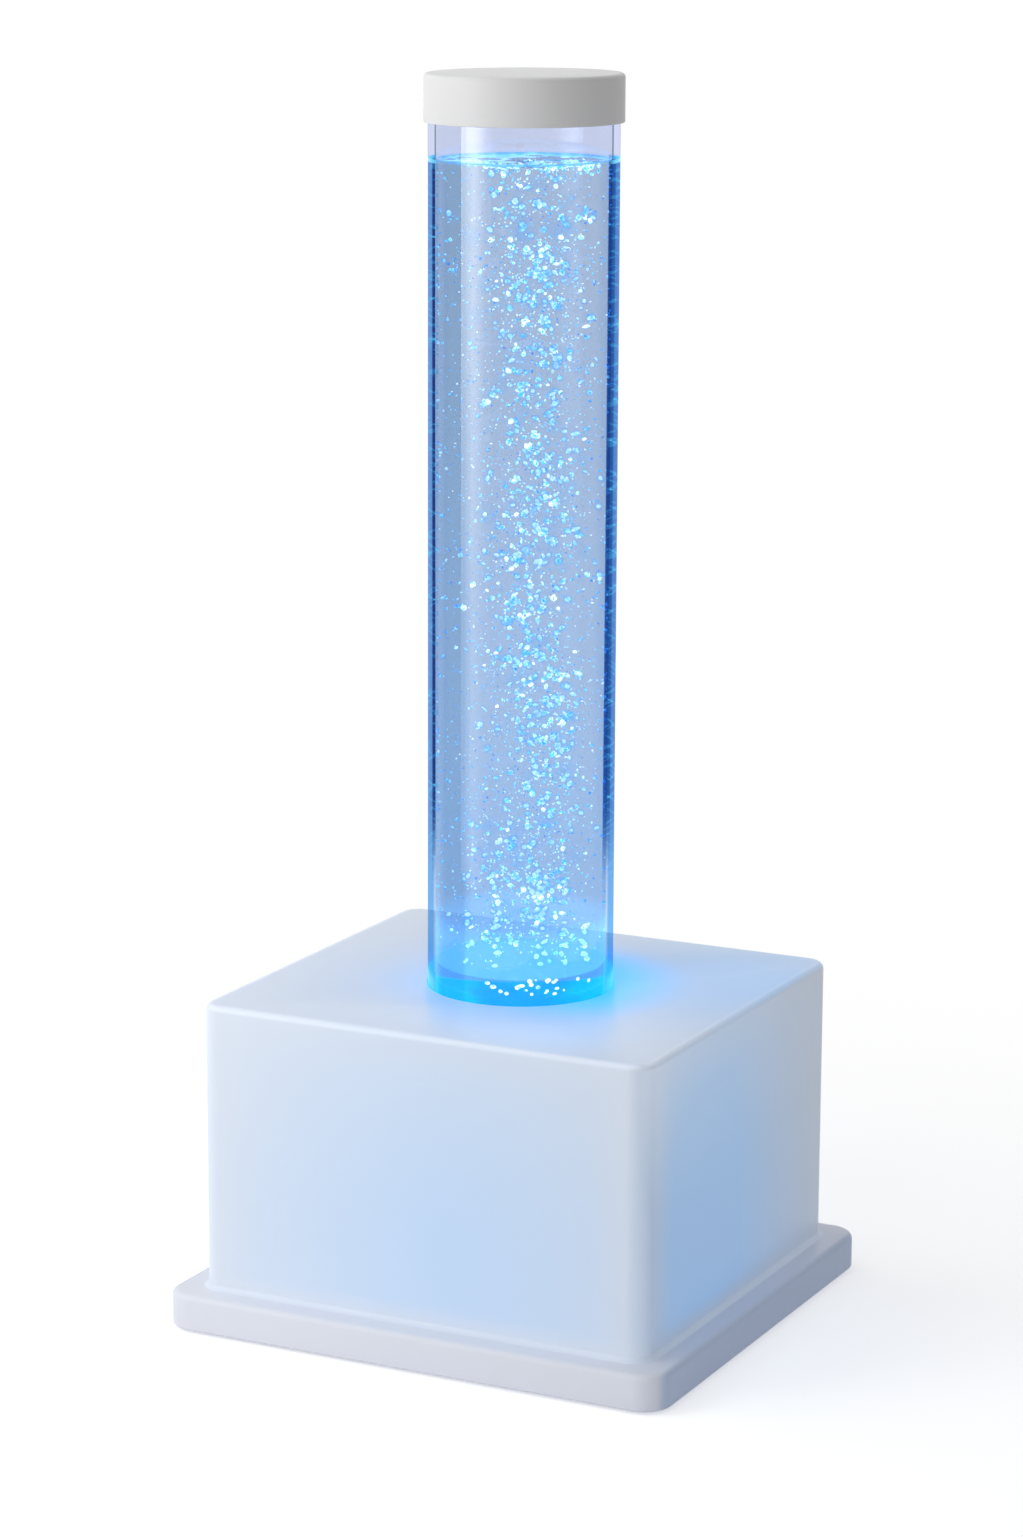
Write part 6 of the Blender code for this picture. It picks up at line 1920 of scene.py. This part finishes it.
    def build_rocker(self) -> None:
        """The rocker: a hollow-faced prism with softened edges, on its axle."""
        half, end, dip, back = 0.0078, 0.0026, 0.0013, -0.0022
        width, keel, keel_half = 0.0048, -0.0044, 0.0025
        count = 12
        outline = [(-half + 2 * half * i / count,
                    dip + (end - dip) * (2 * i / count - 1) ** 2) for i in range(count + 1)]
        outline += [(half, back), (keel_half, keel), (-keel_half, keel), (-half, back)]
        rocker = trace("rocker_paddle", [(-width, along, up) for along, up in outline])
        bpy.ops.mesh.edge_face_add()
        bpy.ops.mesh.extrude_region_move(TRANSFORM_OT_translate={"value": (2 * width, 0, 0)})
        bpy.ops.mesh.select_all(action="SELECT")
        bpy.ops.mesh.normals_make_consistent(inside=False)
        bpy.ops.mesh.select_mode(type="EDGE")
        bpy.ops.mesh.select_all(action="DESELECT")
        pick(rocker, "edges", lambda e: len(e.link_faces) == 2 and e.calc_face_angle() > 0.7)
        round_picked(0.00035, 4)
        join_on(rocker, self.axle("rocker_axle", self.axle_size, 0.0))
        turned_to_rear(rocker, 0.0, self.face + self.pivot, PANEL_HEIGHT, self.tilt)
        smooth(rocker, 40)
        dress(rocker, BLACK_PLASTIC)
        hand_over(rocker, "rocker", "black_plastic", "power_rocker")


@dataclass
class InnerWorks:
    """The CAD nodes that keep their shape, each slot with its own finish."""

    finishes: dict[str, Finish] = field(default_factory=lambda: {
        "white_plastic": Moulded("stand_white", (0.78, 0.79, 0.80, 1.0), 0.45, 0.05, 700.0),
        "grey_plastic": Moulded("cover_grey", (0.30, 0.31, 0.33, 1.0), 0.55, 0.10, 500.0),
        "rubber": Moulded("foot_rubber", (0.035, 0.035, 0.038, 1.0), 0.78, 0.15, 1400.0,
                          0.00006, sheen=0.2),
        "silicone": Moulded("hose_silicone", (0.72, 0.75, 0.78, 1.0), 0.38, 0.06, 600.0),
        "steel": Metal("screw_steel", (0.60, 0.60, 0.62, 1.0), 0.28),
        "aluminium": Metal("sink_aluminium", (0.74, 0.75, 0.77, 1.0), 0.38, 0.2),
        "brass": Metal("inlet_brass", (0.78, 0.60, 0.28, 1.0), 0.26),
        "board_white": Moulded("light_board", (0.85, 0.86, 0.85, 1.0), 0.4, 0.04, 1200.0),
        "board_green": Moulded("control_board_green", (0.03, 0.18, 0.08, 1.0), 0.35, 0.2, 800.0,
                               coat=0.4),
        "black_plastic": BLACK_PLASTIC,
        "lead_sheath": Moulded("lead_black", (0.03, 0.03, 0.034, 1.0), 0.5, 0.1, 900.0),
        "clear_acrylic": ClearWall("window_clear"),
    })

    def build(self) -> None:
        """Dresses every node that no new piece stands for."""
        dressed = {}
        for name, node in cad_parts.items():
            if name in REPLACED:
                continue
            slot = node.data.materials[0].name.split(".")[0]
            if slot not in self.finishes:
                raise ValueError(f"no finish for {name} ({slot})")
            dressed.setdefault(slot, []).append(name)
            dress(node, self.finishes[slot])
        for slot, names in dressed.items():
            LOG.info("%s: %s", slot, ", ".join(sorted(names)))


# The studio


@dataclass(frozen=True)
class LightPanel:
    """One soft light panel.

    Attributes:
        name: its name.
        distance: how far it stands from the tube's axis.
        bearing: its direction from there, in degrees.
        height: its middle's height.
        size: its width and height.
        radiance: how bright its face is.
        aim: the height on the axis that it looks at.
        mirrored: whether glossy surfaces show it.
    """

    UPPER = (0.15, 0.62, 0.25, 1.0)
    OUTER = (-0.06, 0.24, 1.0, 0.15)

    name: str
    distance: float
    bearing: float
    height: float
    size: Pair
    radiance: float
    aim: float
    mirrored: bool = False

    def place(self) -> Piece:
        """Builds the panel and turns it to the lamp."""
        data = bpy.data.lights.new(self.name, "AREA")
        data.shape = "RECTANGLE"
        data.size, data.size_y = self.size
        data.energy = self.radiance * math.pi * self.size[0] * self.size[1]
        panel = bpy.data.objects.new(self.name, data)
        bpy.context.scene.collection.objects.link(panel)
        angle = math.radians(self.bearing)
        panel.location = (self.distance * math.cos(angle), self.distance * math.sin(angle),
                          self.height)
        look = Vector((0, 0, self.aim)) - panel.location
        panel.rotation_euler = look.to_track_quat("-Z", "Y").to_euler()
        panel.visible_camera = False
        panel.visible_glossy = self.mirrored
        return panel

    def place_graded(self) -> None:
        """Builds the panel, faded toward its foot and its right as a soft box lit from above."""
        panel = self.place()
        panel.data.use_nodes = True
        wiring = Wiring(panel.data.node_tree)
        spot = wiring.node("NewGeometry").outputs["Position"]
        height = wiring.parts(spot)[2]
        sideways = Vector(panel.location.xy.orthogonal().normalized()).to_3d()
        across = wiring.node("VectorMath", spot, sideways, operation="DOT_PRODUCT")
        share = wiring.times(wiring.step(height, *self.UPPER),
                             wiring.step(across.outputs["Value"], *self.OUTER))
        wiring.surface(wiring.node("Emission", WHITE, share).outputs[0], "OutputLight")


@dataclass
class Studio:
    """The pale floor, the soft lights and the camera at the photo's angle."""

    camera_azimuth: float = math.radians(26.2145)
    camera_distance: float = 2.22384
    camera_height: float = 0.78069
    camera_pitch: float = math.radians(12.2771)
    camera_yaw: float = math.radians(1.2380)
    focal_pixels: float = 4251.57
    shift_pixels: float = 80.0
    sensor: float = 36.0
    far_clip: float = 100.0
    fill: float = 0.325
    floor_size: float = 60.0

    def build(self) -> None:
        """Builds the camera, the lights and the floor."""
        self.place_camera()
        self.light_world()
        LightPanel("key_panel", 0.80, -122.3, 0.50, (0.58, 0.92), 2.9, 0.42, True).place_graded()
        LightPanel("front_panel", 1.90, -94.0, 0.60, (1.3, 1.1), 1.42, 0.2).place()
        LightPanel("left_panel", 0.62, -172.0, 1.10, (0.7, 0.7), 1.62, 0.18).place()
        LightPanel("lid_panel", 0.05, 90.0, 1.05, (0.3, 0.3), 1.0, 0.0).place()
        self.lay_floor()

    def place_camera(self) -> None:
        """Stands the camera where the photo was taken from."""
        data = bpy.data.cameras.new("photo_camera")
        camera = bpy.data.objects.new("photo_camera", data)
        bpy.context.scene.collection.objects.link(camera)
        camera.location = (self.camera_distance * math.sin(self.camera_azimuth),
                           -self.camera_distance * math.cos(self.camera_azimuth),
                           self.camera_height)
        camera.rotation_euler = (QUARTER_TURN - self.camera_pitch, 0,
                                 self.camera_azimuth + self.camera_yaw)
        data.sensor_width = self.sensor
        data.sensor_fit = "AUTO"
        data.lens = data.sensor_width * self.focal_pixels / PHOTO_HEIGHT
        data.shift_x = self.shift_pixels / PHOTO_HEIGHT
        data.clip_end = self.far_clip
        bpy.context.scene.camera = camera

    def light_world(self) -> None:
        """An even fill from all round, seen as white."""
        world = bpy.data.worlds.new("studio_fill")
        bpy.context.scene.world = world
        world.use_nodes = True
        wiring = Wiring(world.node_tree)
        strength = wiring.node("MapRange", wiring.seen(), 0.0, 1.0, self.fill, 1.0).outputs[0]
        wiring.surface(wiring.node("Background", WHITE, strength).outputs[0], "OutputWorld")

    def lay_floor(self) -> None:
        """Lays the floor that keeps the object's shadow."""
        deselect()
        bpy.ops.mesh.primitive_plane_add(size=self.floor_size, location=(0, 0, 0))
        floor = new_piece("studio_floor")
        dress(floor, PaleFloor("pale_floor"))


def main() -> None:
    """Builds the studio and every sub-assembly, in order."""
    logging.basicConfig(level=logging.INFO, format="%(name)s: %(message)s")
    scene = bpy.context.scene
    scene.view_settings.view_transform = "Standard"
    scene.cycles.transparent_max_bounces = 64
    for part in (Studio, Housing, BasePlate, Lid, Column, BubbleStream, RearPanel, InnerWorks):
        part().build()


if __name__ == "__main__":
    main()
